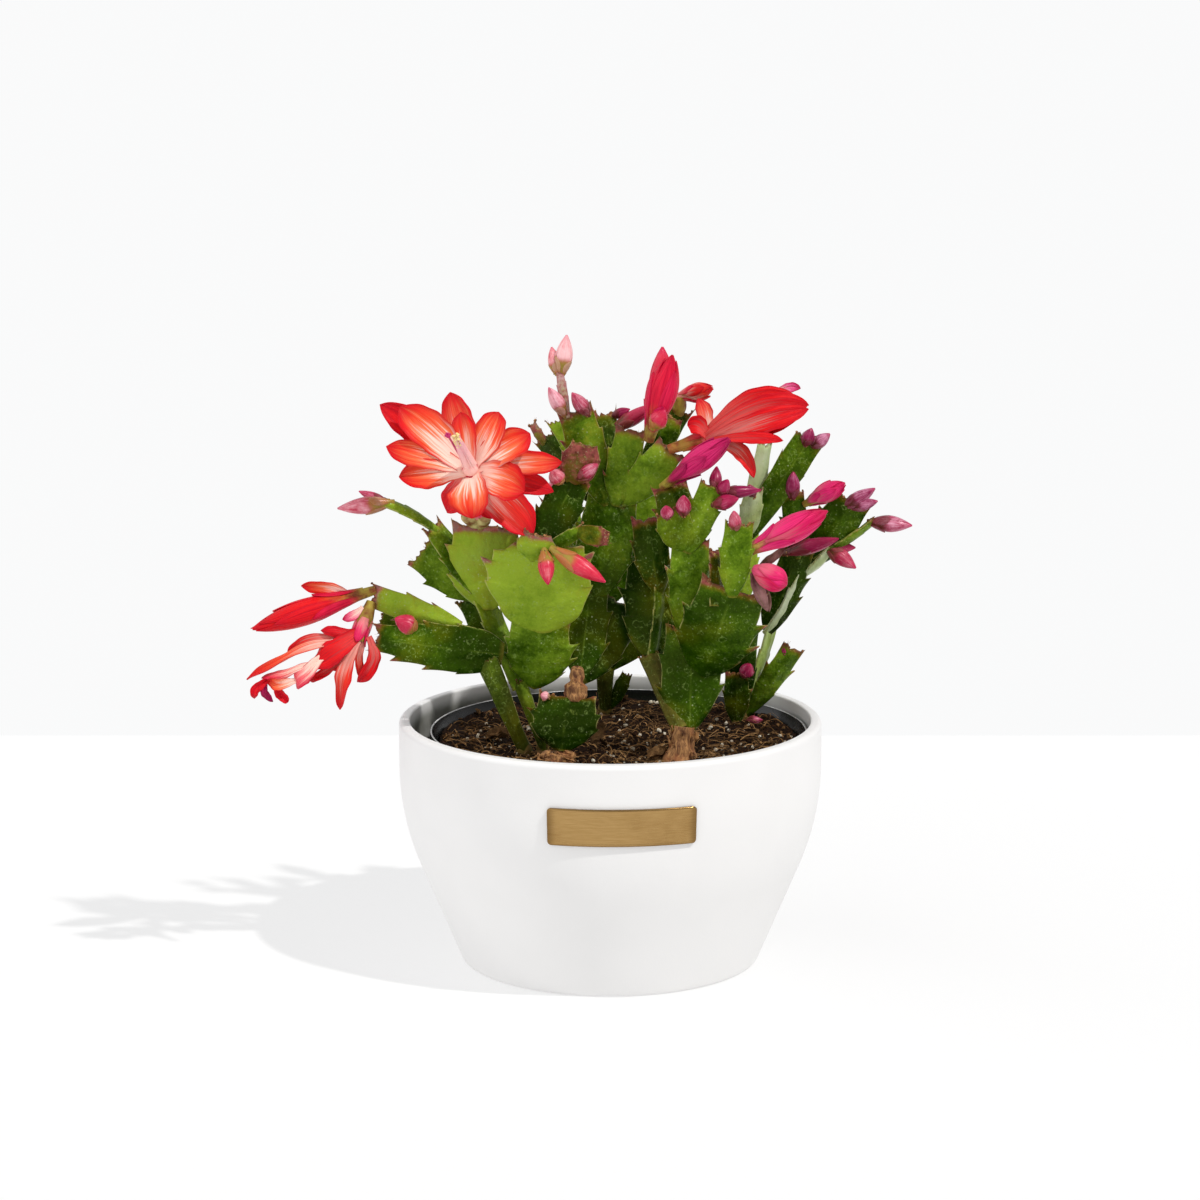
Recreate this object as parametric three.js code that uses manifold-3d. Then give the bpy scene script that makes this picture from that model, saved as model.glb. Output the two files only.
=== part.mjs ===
// A potted christmas cactus (Schlumbergera) in bloom: a white bowl planter with a bare brass plate,
// a black nursery pot set inside it, peat soil, seven rooted leafy stems and their blooms.
// Millimetres. X is to the right, Y away from the front, Z up. The origin is the middle of the
// planter's underside.
import * as THREE from 'three';
import { mergeVertices } from 'three/addons/utils/BufferGeometryUtils.js';
import Module from 'manifold-3d';

const wasm = await Module();
wasm.setup();

// Driving dimensions of the planter
const PLANTER_RADIUS = 85;
const PLANTER_HEIGHT = 98.3;
const PLANTER_WALL = 4.4;
const PLANTER_FLOOR = 6;
const SHOULDER_RADIUS = 104;
const SHOULDER_TOP = 80;
const TAPER_ANGLE = THREE.MathUtils.degToRad(22.6);
const LIP_ROUND = 1.8;
const LIP_INNER_ROUND = 0.5;
const FLOOR_CHAMFER_WIDTH = 4;
const FLOOR_CHAMFER_HEIGHT = 3;
const FOOT_WIDTH = 6;
const FOOT_RECESS = 1.2;
const FOOT_PAD_RADIUS = 28;
const FOOT_NOTCHES = 3;
const FOOT_NOTCH_WIDTH = 9;
const FOOT_NOTCH_HEIGHT = 0.6;

// Driving dimensions of the brass plate, which is bare
const PLATE_LOW = 66.9;
const PLATE_HIGH = 81.5;
const PLATE_THICKNESS = 1;
const PLATE_START = THREE.MathUtils.degToRad(-16.4);
const PLATE_END = THREE.MathUtils.degToRad(22.3);
const PLATE_CORNER = 1.5;
const PLATE_STEPS = 8;

// Driving dimensions of the nursery pot, a six inch pot that stands off centre in the planter
const NURSERY_X = 3.4;
const NURSERY_RIM_RADIUS = 76;
const NURSERY_TOP = 93.4;
const NURSERY_RIM_DEPTH = 5;
const NURSERY_RIM_STEP = 1.8;
const NURSERY_RIM_ROUND = 0.4;
const NURSERY_WALL = 1.4;
const NURSERY_BASE_RADIUS = 50;
const DRAIN_HOLES = 6;
const DRAIN_RING = 34;
const DRAIN_SIZE = 9;

// The soil, and the holes that the stems stand in
const SOIL_TOP = 88;
const SOIL_SAG = 3;
const SOIL_LUMP = 0.9;
const SOIL_EDGE_DROP = 5;
const SOIL_RINGS = [58, 42, 26, 8];
const ROOT_BOTTOM = 76.4;
const ROOT_FREE = 0.35;

// Clearance between pieces that touch on the real plant
const GAP = 0.3;

const ROUND_SIDES = 40;
const NURSERY_SIDES = 32;

// Flat slivers that a join leaves are merged where that moves no face by more than this
const SLIVER = 0.12;
const MERGE_DISTANCE = 0.001;

const COLOURS = {
  planter: { color: 0xeeedeb, roughness: 0.55, metalness: 0 },
  brass: { color: 0xb29462, roughness: 0.4, metalness: 1 },
  nursery: { color: 0x1b1b1c, roughness: 0.45, metalness: 0 },
  soil: { color: 0x3a2618, roughness: 0.95, metalness: 0 },
  leaf: { color: 0x5c8a2a, roughness: 0.45, metalness: 0 },
  bark: { color: 0x87592f, roughness: 0.85, metalness: 0 },
  red: { color: 0xe8382a, roughness: 0.5, metalness: 0 },
  pink: { color: 0xdc3a78, roughness: 0.5, metalness: 0 },
};

const cactus = new THREE.Group();

function addMesh(name, geometry, look) {
  const mesh = new THREE.Mesh(geometry, new THREE.MeshStandardMaterial(COLOURS[look]));
  mesh.name = name;
  cactus.add(mesh);
  return mesh;
}

// Solids

function solidFrom(geometry) {
  const bare = new THREE.BufferGeometry();
  bare.setAttribute('position', geometry.getAttribute('position'));
  bare.setIndex(geometry.index);
  const merged = mergeVertices(bare, MERGE_DISTANCE);
  const vertProperties = merged.attributes.position.array;
  const solidWith = (triVerts) =>
    new wasm.Manifold(new wasm.Mesh({ numProp: 3, vertProperties, triVerts }));
  const corners = new Uint32Array(merged.index.array);
  const solid = solidWith(corners);
  return solid.volume() > 0 ? solid : solidWith(corners.slice().reverse());
}

function geometryFrom(solid) {
  const mesh = solid.getMesh();
  const geometry = new THREE.BufferGeometry();
  geometry.setAttribute('position', new THREE.BufferAttribute(mesh.vertProperties, 3));
  geometry.setIndex(new THREE.BufferAttribute(mesh.triVerts, 1));
  geometry.computeVertexNormals();
  return geometry;
}

// The solids as one body. Any hollow that the join seals is filled, and slivers are merged.
function joined(solids) {
  const sum = solids.reduce((whole, next) => whole.add(next));
  const plain = solidFrom(geometryFrom(sum)).simplify(SLIVER);
  const skins = plain.decompose().filter((piece) => piece.volume() > 0);
  return skins.reduce((whole, next) => whole.add(next));
}

// A closed skin over rings that have the same number of points. A ring's second half lies on the
// back of a blade, where each four-sided face is split along the line that the front face uses.
function skin(rings) {
  const count = rings[0].length;
  const positions = rings.flat().flatMap((point) => [point.x, point.y, point.z]);
  const faces = [];
  for (let row = 0; row + 1 < rings.length; row += 1) {
    for (let side = 0; side < count; side += 1) {
      const a = row * count + side;
      const b = row * count + ((side + 1) % count);
      const c = a + count;
      const d = b + count;
      if (side < count / 2) faces.push(a, b, d, a, d, c);
      else faces.push(a, b, c, b, d, c);
    }
  }
  const last = (rings.length - 1) * count;
  for (let side = 1; side + 1 < count; side += 1) {
    faces.push(0, side + 1, side);
    faces.push(last, last + side, last + side + 1);
  }
  const geometry = new THREE.BufferGeometry();
  geometry.setAttribute('position', new THREE.Float32BufferAttribute(positions, 3));
  geometry.setIndex(faces);
  return solidFrom(geometry);
}

// A solid turned about Z from a profile of [radius, height] points
function turned(profile, sides) {
  const points = profile.map(([radius, height]) => new THREE.Vector2(radius, height));
  return solidFrom(new THREE.LatheGeometry(points, sides).rotateX(Math.PI / 2));
}

// An upright prism, used for root stubs and the holes that they stand in
function post(x, y, radius, bottom, top, sides = 8) {
  const height = top - bottom;
  const geometry = new THREE.CylinderGeometry(radius, radius, height, sides);
  return solidFrom(geometry.rotateX(Math.PI / 2).translate(x, y, bottom + height / 2));
}

function block(width, depth, height, x, y, z) {
  return solidFrom(new THREE.BoxGeometry(width, depth, height).translate(x, y, z));
}

// Planter

// Radius of the planter's outside at a height: an upright wall, a round shoulder and a taper
function planterRadiusAt(height) {
  const bendHeight = SHOULDER_RADIUS * Math.sin(TAPER_ANGLE);
  const fall = SHOULDER_TOP - height;
  if (fall <= 0) return PLANTER_RADIUS;
  if (fall < bendHeight) {
    return PLANTER_RADIUS - SHOULDER_RADIUS + Math.sqrt(SHOULDER_RADIUS ** 2 - fall ** 2);
  }
  const bendInset = SHOULDER_RADIUS * (1 - Math.cos(TAPER_ANGLE));
  return PLANTER_RADIUS - bendInset - (fall - bendHeight) * Math.tan(TAPER_ANGLE);
}

function makePlanter() {
  const outer = [0, 40, 52, 66, 80].map((height) => [planterRadiusAt(height), height]);
  const footInside = planterRadiusAt(0) - FOOT_WIDTH;
  const inner = [76, 58, 40].map((height) => [planterRadiusAt(height) - PLANTER_WALL, height]);
  const floorRadius = planterRadiusAt(PLANTER_FLOOR) - PLANTER_WALL;
  const innerRim = PLANTER_RADIUS - PLANTER_WALL;
  const profile = [
    [0, 0],
    [FOOT_PAD_RADIUS, 0],
    [FOOT_PAD_RADIUS, FOOT_RECESS],
    [footInside, FOOT_RECESS],
    [footInside, 0],
    ...outer,
    [PLANTER_RADIUS, PLANTER_HEIGHT - LIP_ROUND],
    [PLANTER_RADIUS - LIP_ROUND * 0.3, PLANTER_HEIGHT - LIP_ROUND * 0.3],
    [PLANTER_RADIUS - LIP_ROUND, PLANTER_HEIGHT],
    [innerRim + LIP_INNER_ROUND, PLANTER_HEIGHT],
    [innerRim, PLANTER_HEIGHT - LIP_INNER_ROUND],
    ...inner,
    [floorRadius, PLANTER_FLOOR + FLOOR_CHAMFER_HEIGHT],
    [floorRadius - FLOOR_CHAMFER_WIDTH, PLANTER_FLOOR],
    [0, PLANTER_FLOOR],
  ];
  let planter = turned(profile, ROUND_SIDES);
  for (let i = 0; i < FOOT_NOTCHES; i += 1) {
    const angle = -Math.PI / 2 + (i * 2 * Math.PI) / FOOT_NOTCHES;
    const notch = new THREE.BoxGeometry(4 * FOOT_WIDTH, FOOT_NOTCH_WIDTH, 2 * FOOT_NOTCH_HEIGHT);
    notch.translate(planterRadiusAt(0), 0, 0).rotateZ(angle);
    planter = planter.subtract(solidFrom(notch));
  }
  addMesh('planter', geometryFrom(planter), 'planter');
}

function makePlate() {
  const cornerAngle = PLATE_CORNER / PLANTER_RADIUS;
  const ends = [0, 0.4 * cornerAngle, cornerAngle];
  const angles = ends.map((offset) => [PLATE_START + offset, offset]);
  for (let i = 1; i < PLATE_STEPS; i += 1) {
    angles.push([THREE.MathUtils.lerp(PLATE_START, PLATE_END, i / PLATE_STEPS), cornerAngle]);
  }
  for (const offset of [...ends].reverse()) angles.push([PLATE_END - offset, offset]);
  const rings = angles.map(([angle, fromEnd]) => {
    const inCorner = 1 - fromEnd / cornerAngle;
    const inset = PLATE_CORNER * (1 - Math.sqrt(Math.max(0, 1 - inCorner ** 2)));
    const place = (height, proud) => {
      const radius = planterRadiusAt(height) + proud;
      return new THREE.Vector3(radius * Math.sin(angle), -radius * Math.cos(angle), height);
    };
    const low = PLATE_LOW + inset;
    const high = PLATE_HIGH - inset;
    return [
      place(low, GAP),
      place(high, GAP),
      place(high, GAP + PLATE_THICKNESS),
      place(low, GAP + PLATE_THICKNESS),
    ];
  });
  addMesh('name_plate', geometryFrom(skin(rings)), 'brass');
}

// Nursery pot and soil

function nurseryRadiusAt(height) {
  const low = PLANTER_FLOOR + GAP;
  const high = NURSERY_TOP - NURSERY_RIM_DEPTH;
  const share = (height - low) / (high - low);
  return THREE.MathUtils.lerp(NURSERY_BASE_RADIUS, NURSERY_RIM_RADIUS - NURSERY_RIM_STEP, share);
}

function makeNurseryPot() {
  const bottom = PLANTER_FLOOR + GAP;
  const under = NURSERY_TOP - NURSERY_RIM_DEPTH;
  const floor = bottom + NURSERY_WALL;
  const rimInside = NURSERY_RIM_RADIUS - NURSERY_WALL;
  const profile = [
    [0, bottom],
    [NURSERY_BASE_RADIUS, bottom],
    [nurseryRadiusAt(under), under],
    [NURSERY_RIM_RADIUS, under + NURSERY_RIM_ROUND],
    [NURSERY_RIM_RADIUS, NURSERY_TOP - NURSERY_RIM_ROUND],
    [NURSERY_RIM_RADIUS - NURSERY_RIM_ROUND, NURSERY_TOP],
    [rimInside, NURSERY_TOP],
    [rimInside - NURSERY_RIM_ROUND, under + NURSERY_WALL],
    [nurseryRadiusAt(under) - NURSERY_WALL, under],
    [nurseryRadiusAt(floor) - NURSERY_WALL, floor],
    [0, floor],
  ];
  let pot = turned(profile, NURSERY_SIDES);
  for (let i = 0; i < DRAIN_HOLES; i += 1) {
    const angle = (i * 2 * Math.PI) / DRAIN_HOLES;
    const x = DRAIN_RING * Math.cos(angle);
    const y = DRAIN_RING * Math.sin(angle);
    pot = pot.subtract(post(x, y, DRAIN_SIZE / 2, bottom - 1, floor + 1, 6));
  }
  addMesh('nursery_pot', geometryFrom(pot.translate(NURSERY_X, 0, 0)), 'nursery');
}

// Height of the soil's top, a low mound with hollows, measured from the pot's own middle
function soilHeight(x, y) {
  const reach = Math.hypot(x, y) / NURSERY_RIM_RADIUS;
  const lumps = Math.sin(x * 0.21 + 1) * Math.cos(y * 0.17) + 0.6 * Math.sin(x * 0.09 - y * 0.13);
  return SOIL_TOP + SOIL_LUMP * lumps - SOIL_SAG * reach ** 4;
}

function makeSoil(roots) {
  const bottom = PLANTER_FLOOR + GAP + NURSERY_WALL + GAP;
  const inside = (height) => nurseryRadiusAt(height) - NURSERY_WALL - GAP;
  const circle = (radius, heightAt) =>
    Array.from({ length: NURSERY_SIDES }, (_, i) => {
      const angle = (i * 2 * Math.PI) / NURSERY_SIDES;
      const x = radius * Math.cos(angle);
      const y = radius * Math.sin(angle);
      return new THREE.Vector3(x, y, heightAt(x, y));
    });
  const edge = SOIL_TOP - SOIL_EDGE_DROP;
  const rings = [circle(inside(bottom), () => bottom), circle(inside(edge), () => edge)];
  for (const radius of [inside(edge) - 1, ...SOIL_RINGS]) {
    rings.push(circle(radius, soilHeight));
  }
  let soil = skin(rings).translate(NURSERY_X, 0, 0);
  for (const { x, y, radius } of roots) {
    soil = soil.subtract(post(x, y, radius + ROOT_FREE, ROOT_BOTTOM - GAP, SOIL_TOP + 10));
  }
  addMesh('soil', geometryFrom(soil), 'soil');
}

// Leafy stems

// Each outline is a row of [how far along, half width, how far the edge reaches forward]: where the
// width drops from one row to the next, the edge has a tooth. Shares of the length and of the width.
const OUTLINES = {
  broad: [
    [0, 0.2, 0],
    [0.15, 0.66, 0],
    [0.39, 0.98, 0.03],
    [0.43, 0.8, 0],
    [0.68, 1, 0.05],
    [0.73, 0.78, 0],
    [1, 0.74, 0.04],
  ],
  small: [
    [0, 0.25, 0],
    [0.3, 0.85, 0],
    [0.64, 1, 0.05],
    [0.69, 0.8, 0],
    [1, 0.72, 0.04],
  ],
  young: [
    [0, 0.3, 0],
    [0.3, 0.85, 0],
    [0.65, 1, 0],
    [1, 0.66, 0],
  ],
  narrow: [
    [0, 0.5, 0],
    [0.3, 0.9, 0],
    [0.64, 1, 0.03],
    [0.69, 0.78, 0],
    [1, 0.7, 0.03],
  ],
  stem: [
    [0, 0.8, 0],
    [0.5, 0.85, 0],
    [1, 1, 0],
  ],
};

// Thickness of a segment in millimetres, at its rib and at its edges
const THICKNESS = {
  broad: [2.8, 1],
  small: [2.4, 1],
  young: [2.2, 1],
  narrow: [2.8, 1],
  stem: [5, 2.2],
};

// How far a segment's base is sunk in, how far its middle bows forward, and how fast a waved edge
// rises and falls along it
const SEAT = 1.6;
const BOW = 1.4;
const WAVE_RATE = 9;

// The middle line, side and face of a flat piece that runs from base to tip. Unturned, it faces the
// front, and turn rotates it about its own length.
function bladeFrame(base, tip, turn) {
  const along = tip.clone().sub(base);
  const length = along.length();
  along.normalize();
  const face = new THREE.Vector3(0, -1, 0);
  face.addScaledVector(along, -face.dot(along)).normalize();
  face.applyAxisAngle(along, THREE.MathUtils.degToRad(turn));
  const side = new THREE.Vector3().crossVectors(face, along);
  return { along, face, side, length };
}

// One flat segment with a rib, thin edges and teeth. Its base is sunk into what it grows from.
function leaf([base, tip, width, turn, kind, wave = 0]) {
  const start = new THREE.Vector3(...base);
  const end = new THREE.Vector3(...tip);
  const { along, face, side, length } = bladeFrame(start, end, turn);
  const [rib, edge] = THICKNESS[kind];
  const rings = OUTLINES[kind].map(([share, half, forward]) => {
    const bow = BOW * 4 * share * (1 - share);
    const run = share * length - (share === 0 ? SEAT : 0);
    const middle = start.clone().addScaledVector(along, run).addScaledVector(face, bow);
    const point = (across, depth, ahead) =>
      middle
        .clone()
        .addScaledVector(side, (across * width) / 2)
        .addScaledVector(along, ahead * length)
        .addScaledVector(face, depth);
    const ripple = wave * Math.sin(share * WAVE_RATE);
    return [
      point(-half, edge / 2 + ripple, forward),
      point(0, rib / 2, 0),
      point(half, edge / 2 - ripple, forward),
      point(half, -edge / 2 - ripple, forward),
      point(0, -rib / 2, 0),
      point(-half, -edge / 2 + ripple, forward),
    ];
  });
  return skin(rings);
}

// A round body about a line, from a row of [how far along, radius as a share of half the thickness]
function spindle(base, tip, thick, profile, sides) {
  const start = new THREE.Vector3(...base);
  const end = new THREE.Vector3(...tip);
  const { along, face, side, length } = bladeFrame(start, end, 0);
  const rings = profile.map(([share, radius]) =>
    Array.from({ length: sides }, (_, i) => {
      const angle = (i * 2 * Math.PI) / sides;
      return start
        .clone()
        .addScaledVector(along, share * length)
        .addScaledVector(side, (Math.cos(angle) * radius * thick) / 2)
        .addScaledVector(face, (Math.sin(angle) * radius * thick) / 2);
    }),
  );
  return skin(rings);
}

const BUD_PROFILE = [
  [-0.12, 0.4],
  [0.3, 0.9],
  [0.65, 0.9],
  [1, 0.12],
];

const CORK_PROFILE = [
  [-0.1, 0.8],
  [0.3, 1],
  [0.55, 0.85],
  [1, 0.95],
];

function bud([base, tip, thick]) {
  return spindle(base, tip, thick, BUD_PROFILE, 5);
}

function cork([base, tip, thick]) {
  return spindle(base, tip, thick, CORK_PROFILE, 6);
}

// A root stub stands in its hole in the soil, and ends at a height where the first segment is sunk in
function rootStub({ x, y, radius, top }) {
  return post(x, y, radius, ROOT_BOTTOM, top);
}

// Rows of a leafy stem: [base, tip, width, turn about its length, kind, wave of its edges].
// Rows of buds and of corky joints: [base, tip, thickness].
const STEMS = {
  stem_left: {
    root: { x: -34, y: -22, radius: 4.2, top: 91 },
    segments: [
      [[-34, -22, 90], [-49, -24, 125], 10, 0, 'stem'],
      [[-48, -24, 124], [-89, -32, 137], 20, 0, 'broad'],
      [[-49, -22, 127], [-93, -24, 152], 12, 0, 'small'],
      [[-68, -22, 138], [-90, -20, 143], 9, 0, 'young'],
    ],
    buds: [[[-76, -29, 140], [-84, -33, 145], 8]],
  },
  stem_front: {
    root: { x: -27, y: -14, radius: 3.2, top: 91 },
    segments: [
      [[-27, -14, 90], [-36, -18, 117], 6, 0, 'stem'],
      [[-30, -19, 116], [-27, -27, 142], 28, 0, 'broad'],
      [[-27, -27, 140], [-28, -36, 174], 41, 0, 'broad'],
      [[-30, -36, 170], [-28, -41, 179], 15, 0, 'young'],
      [[-37, -17, 115], [-52, -13, 152], 12, 70, 'narrow'],
      [[-53, -12, 150], [-75, -8, 167], 18, 0, 'small'],
      [[-53, -15, 151], [-70, -15, 178], 12, 40, 'small'],
      [[-49, -16, 147], [-49, -20, 179], 32, 0, 'broad'],
      [[-43, -13, 128], [-56, -6, 148], 14, 0, 'small'],
      [[-69, -15, 177], [-88, -17, 188], 6, 60, 'narrow'],
      [[-27, -35, 173], [-14, -27, 199], 17, 0, 'broad'],
      [[-14, -28, 198], [-10, -34, 213], 15, 0, 'young'],
      [[-24, -36, 174], [-11, -38, 181], 6, 20, 'young'],
      [[-12, -38, 180], [-1, -42, 178], 8, 0, 'young'],
    ],
    buds: [
      [[-26, -41, 174], [-24, -48, 161], 6],
      [[-24, -41, 174], [-2, -48, 162], 7],
      [[-87, -17, 188], [-107, -19, 186], 7],
      [[-88, -16, 188], [-99, -13, 192], 4],
      [[-19, -28, 198], [-23, -32, 203], 7],
      [[-12, -31, 201], [-5, -36, 208], 6],
      [[-41, -20, 178], [-40, -22, 184], 4],
    ],
  },
  stem_centre: {
    segments: [
      [[-19, -35, 94], [-17, -30, 113], 28, 0, 'broad'],
      [[-12, -22, 120], [-8, -12, 152], 19, 0, 'broad'],
      [[-11, -22, 119], [5, -4, 145], 21, 0, 'broad'],
      [[-6, -12, 150], [1, -12, 189], 25, 0, 'broad'],
      [[-2, -12, 188], [-14, -16, 224], 17, 0, 'broad'],
      [[2, -13, 188], [8, -20, 217], 15, 0, 'broad'],
      [[6, -13, 188], [23, -24, 210], 16, 0, 'broad'],
      [[-17, -16, 223], [-20, -15, 240], 4, 0, 'narrow'],
      [[-3, -11, 188], [-21, 0, 218], 10, 20, 'narrow'],
      [[-4, -11, 186], [-26, 8, 210], 11, 0, 'small'],
      [[-26, 8, 208], [-31, 7, 216], 4, 0, 'narrow'],
      [[5, -12, 186], [28, 2, 222], 11, 0, 'small'],
      [[19, -6, 207], [25, -9, 220], 9, 0, 'young'],
      [[2, -11, 187], [-2, 6, 220], 11, 0, 'small'],
    ],
    corks: [[[-14, -29, 110], [-13, -23, 122], 6.5]],
    buds: [
      [[-19, -15, 239], [-17, -17, 254], 7],
      [[-21, -15, 239], [-23, -14, 249], 5],
      [[-18, -17, 223], [-24, -21, 234], 6],
      [[-9, -16, 223], [-15, -21, 232], 6],
      [[0, 6, 218], [8, 3, 222], 5],
      [[2, 5, 218], [14, 0, 227], 5],
    ],
  },
  stem_right: {
    segments: [
      [[31, -33, 102], [32, -26, 139], 26, 0, 'broad'],
      [[27, -32, 102], [15, -20, 128], 9, 0, 'stem'],
      [[16, -20, 127], [19, -18, 154], 7, 50, 'narrow'],
      [[19, -18, 153], [14, -21, 182], 15, 0, 'broad'],
      [[16, -19, 127], [17, -2, 163], 25, 0, 'broad'],
      [[30, -27, 138], [31, -36, 176], 18, 0, 'broad', 2],
      [[29, -36, 174], [22, -40, 188], 14, 0, 'young'],
      [[30, -36, 173], [39, -40, 198], 13, 0, 'small'],
      [[30, -34, 172], [23, -26, 196], 17, 0, 'small'],
      [[36, -30, 122], [47, -44, 158], 32, 0, 'broad'],
      [[47, -44, 157], [49, -46, 184], 14, 0, 'small'],
      [[40, -42, 153], [40, -36, 172], 7, 40, 'narrow'],
    ],
    buds: [
      [[28, -40, 187], [28, -44, 195], 6],
      [[22, -41, 186], [21, -45, 191], 5],
      [[48, -46, 182], [47, -50, 190], 5],
      [[40, -39, 196], [41, -35, 205], 5],
      [[42, -40, 195], [45, -43, 201], 5],
      [[40, -41, 191], [49, -45, 194], 6],
      [[42, -39, 195], [58, -36, 196], 5],
    ],
  },
  sprout_right: {
    root: { x: 52, y: 27, radius: 2.4, top: 91 },
    segments: [[[52, 27, 91], [52, 24, 111], 12, 0, 'small']],
    buds: [[[55, 24, 110], [57, 19, 116], 6]],
  },
  stem_right_back: {
    root: { x: 54, y: 38, radius: 4, top: 92 },
    segments: [
      [[54, 38, 91], [66, 30, 129], 8, 50, 'narrow'],
      [[65, 30, 128], [79, 20, 155], 9, 50, 'narrow'],
      [[79, 20, 154], [89, 15, 165], 6, 50, 'narrow'],
      [[57, 38, 92], [75, 30, 120], 12, 20, 'small'],
      [[84, 17, 161], [106, 10, 177], 6, 50, 'narrow'],
      [[81, 19, 158], [97, 10, 184], 19, 0, 'broad'],
      [[65, 30, 128], [76, 16, 163], 16, 0, 'broad'],
      [[76, 16, 162], [73, 9, 187], 12, 0, 'small'],
      [[55, 37, 95], [53, 16, 142], 14, 0, 'small'],
      [[53, 17, 140], [55, 9, 174], 12, 0, 'small'],
      [[54, 10, 171], [79, 9, 209], 14, 0, 'broad'],
      [[54, 10, 173], [62, 13, 207], 8, 20, 'narrow'],
      [[54, 9, 171], [57, 0, 190], 10, 20, 'narrow'],
    ],
    buds: [
      [[72, 31, 117], [71, 29, 122], 3],
      [[72, 14, 163], [91, 0, 172], 7],
      [[105, 10, 176], [121, 7, 175], 7],
      [[94, 11, 182], [106, 8, 190], 6],
      [[97, 10, 182], [107, 7, 185], 5],
      [[88, 15, 165], [99, 11, 157], 7],
      [[88, 15, 165], [99, 14, 165], 5],
      [[77, 9, 207], [79, 7, 213], 5],
      [[79, 9, 207], [84, 7, 211], 5],
      [[73, 9, 186], [73, 6, 197], 6],
      [[57, 0, 188], [55, -2, 193], 4],
    ],
  },
  stem_back: {
    root: { x: -2, y: 52, radius: 4, top: 91 },
    segments: [
      [[-2, 52, 90], [-2, 46, 110], 8, 0, 'stem'],
      [[1, 51, 92], [7, 50, 105], 6, 0, 'young'],
      [[-2, 46, 109], [-8, 36, 140], 25, 0, 'broad'],
      [[-7, 36, 138], [-16, 32, 165], 22, 0, 'broad'],
      [[-6, 36, 138], [9, 36, 166], 22, 0, 'broad'],
      [[-4, 46, 110], [-30, 48, 140], 20, 0, 'small'],
      [[0, 46, 110], [26, 48, 142], 20, 0, 'small'],
      [[8, 36, 164], [22, 40, 186], 16, 0, 'small'],
      [[-15, 32, 163], [-22, 40, 182], 16, 0, 'small'],
    ],
    buds: [[[-22, 40, 180], [-24, 43, 189], 5]],
  },
};

// Brown woody stocks that carry the centre stem and the right stem
const STOCKS = {
  stock_centre: {
    root: { x: -21, y: -36, radius: 5.5, top: 91 },
    pieces: [
      [[-24, -37, 90.2], [-26, -37, 93], 6],
      [[-18, -35.5, 90.2], [-16, -35, 93], 7],
    ],
    top: 92,
  },
  stock_right: {
    root: { x: 28, y: -36, radius: 4.8, top: 92 },
    pieces: [[[28, -36, 88], [28.5, -33, 101.5], 9.6]],
    top: 101,
  },
};

// What stands above a stock is cut off level, a gap above it
const CARRIED_BY = { stem_centre: 'stock_centre', stem_right: 'stock_right' };

const CUT_SPAN = 400;

function cutBelow(solid, height) {
  return solid.subtract(block(CUT_SPAN, CUT_SPAN, CUT_SPAN, 0, 0, height - CUT_SPAN / 2));
}

function cutAbove(solid, height) {
  return solid.subtract(block(CUT_SPAN, CUT_SPAN, CUT_SPAN, 0, 0, height + CUT_SPAN / 2));
}

function makeStems() {
  for (const [name, { root, segments, corks = [], buds = [] }] of Object.entries(STEMS)) {
    const pieces = [...segments.map(leaf), ...corks.map(cork), ...buds.map(bud)];
    if (root) pieces.unshift(rootStub(root));
    let stem = joined(pieces);
    if (CARRIED_BY[name]) stem = cutBelow(stem, STOCKS[CARRIED_BY[name]].top + GAP);
    addMesh(name, geometryFrom(stem), 'leaf');
  }
}

function makeStocks() {
  for (const [name, { root, pieces, top }] of Object.entries(STOCKS)) {
    const stock = joined([rootStub(root), ...pieces.map(cork)]);
    addMesh(name, geometryFrom(cutAbove(stock, top)), 'bark');
  }
}

// Blooms

const PETAL_OUTLINE = [
  [0, 0.4],
  [0.35, 0.8],
  [0.7, 1],
  [1, 0.16],
];
const SHORT_PETAL_OUTLINE = [
  [0, 0.5],
  [0.6, 1],
  [1, 0.16],
];
const PETAL_THICKNESS = 0.9;
const PETAL_CUP = 0.22;

// One petal on a curve from its root, drawn towards belly, to its tip. Its edges are cupped
// towards face.
function petal(root, belly, tip, width, face, outline = PETAL_OUTLINE) {
  const curve = new THREE.QuadraticBezierCurve3(root, belly, tip);
  const rings = outline.map(([share, half]) => {
    const middle = curve.getPoint(share);
    const along = curve.getTangent(share);
    const up = face.clone().addScaledVector(along, -face.dot(along)).normalize();
    const side = new THREE.Vector3().crossVectors(up, along);
    const reach = (half * width) / 2;
    const point = (across, depth) =>
      middle.clone().addScaledVector(side, across).addScaledVector(up, depth);
    const thin = PETAL_THICKNESS / 2;
    const cup = PETAL_CUP * reach;
    return [
      point(-reach, cup + thin),
      point(0, thin),
      point(reach, cup + thin),
      point(reach, cup - thin),
      point(0, -thin),
      point(-reach, cup - thin),
    ];
  });
  return skin(rings);
}

const CLOSED_PROFILE = [
  [0, 0.4],
  [0.16, 0.5],
  [0.42, 0.94],
  [0.72, 0.86],
  [1, 0.14],
];

const TUBE_PROFILE = [
  [0, 0.5],
  [0.3, 0.95],
  [0.7, 0.75],
  [1, 1],
];

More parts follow.
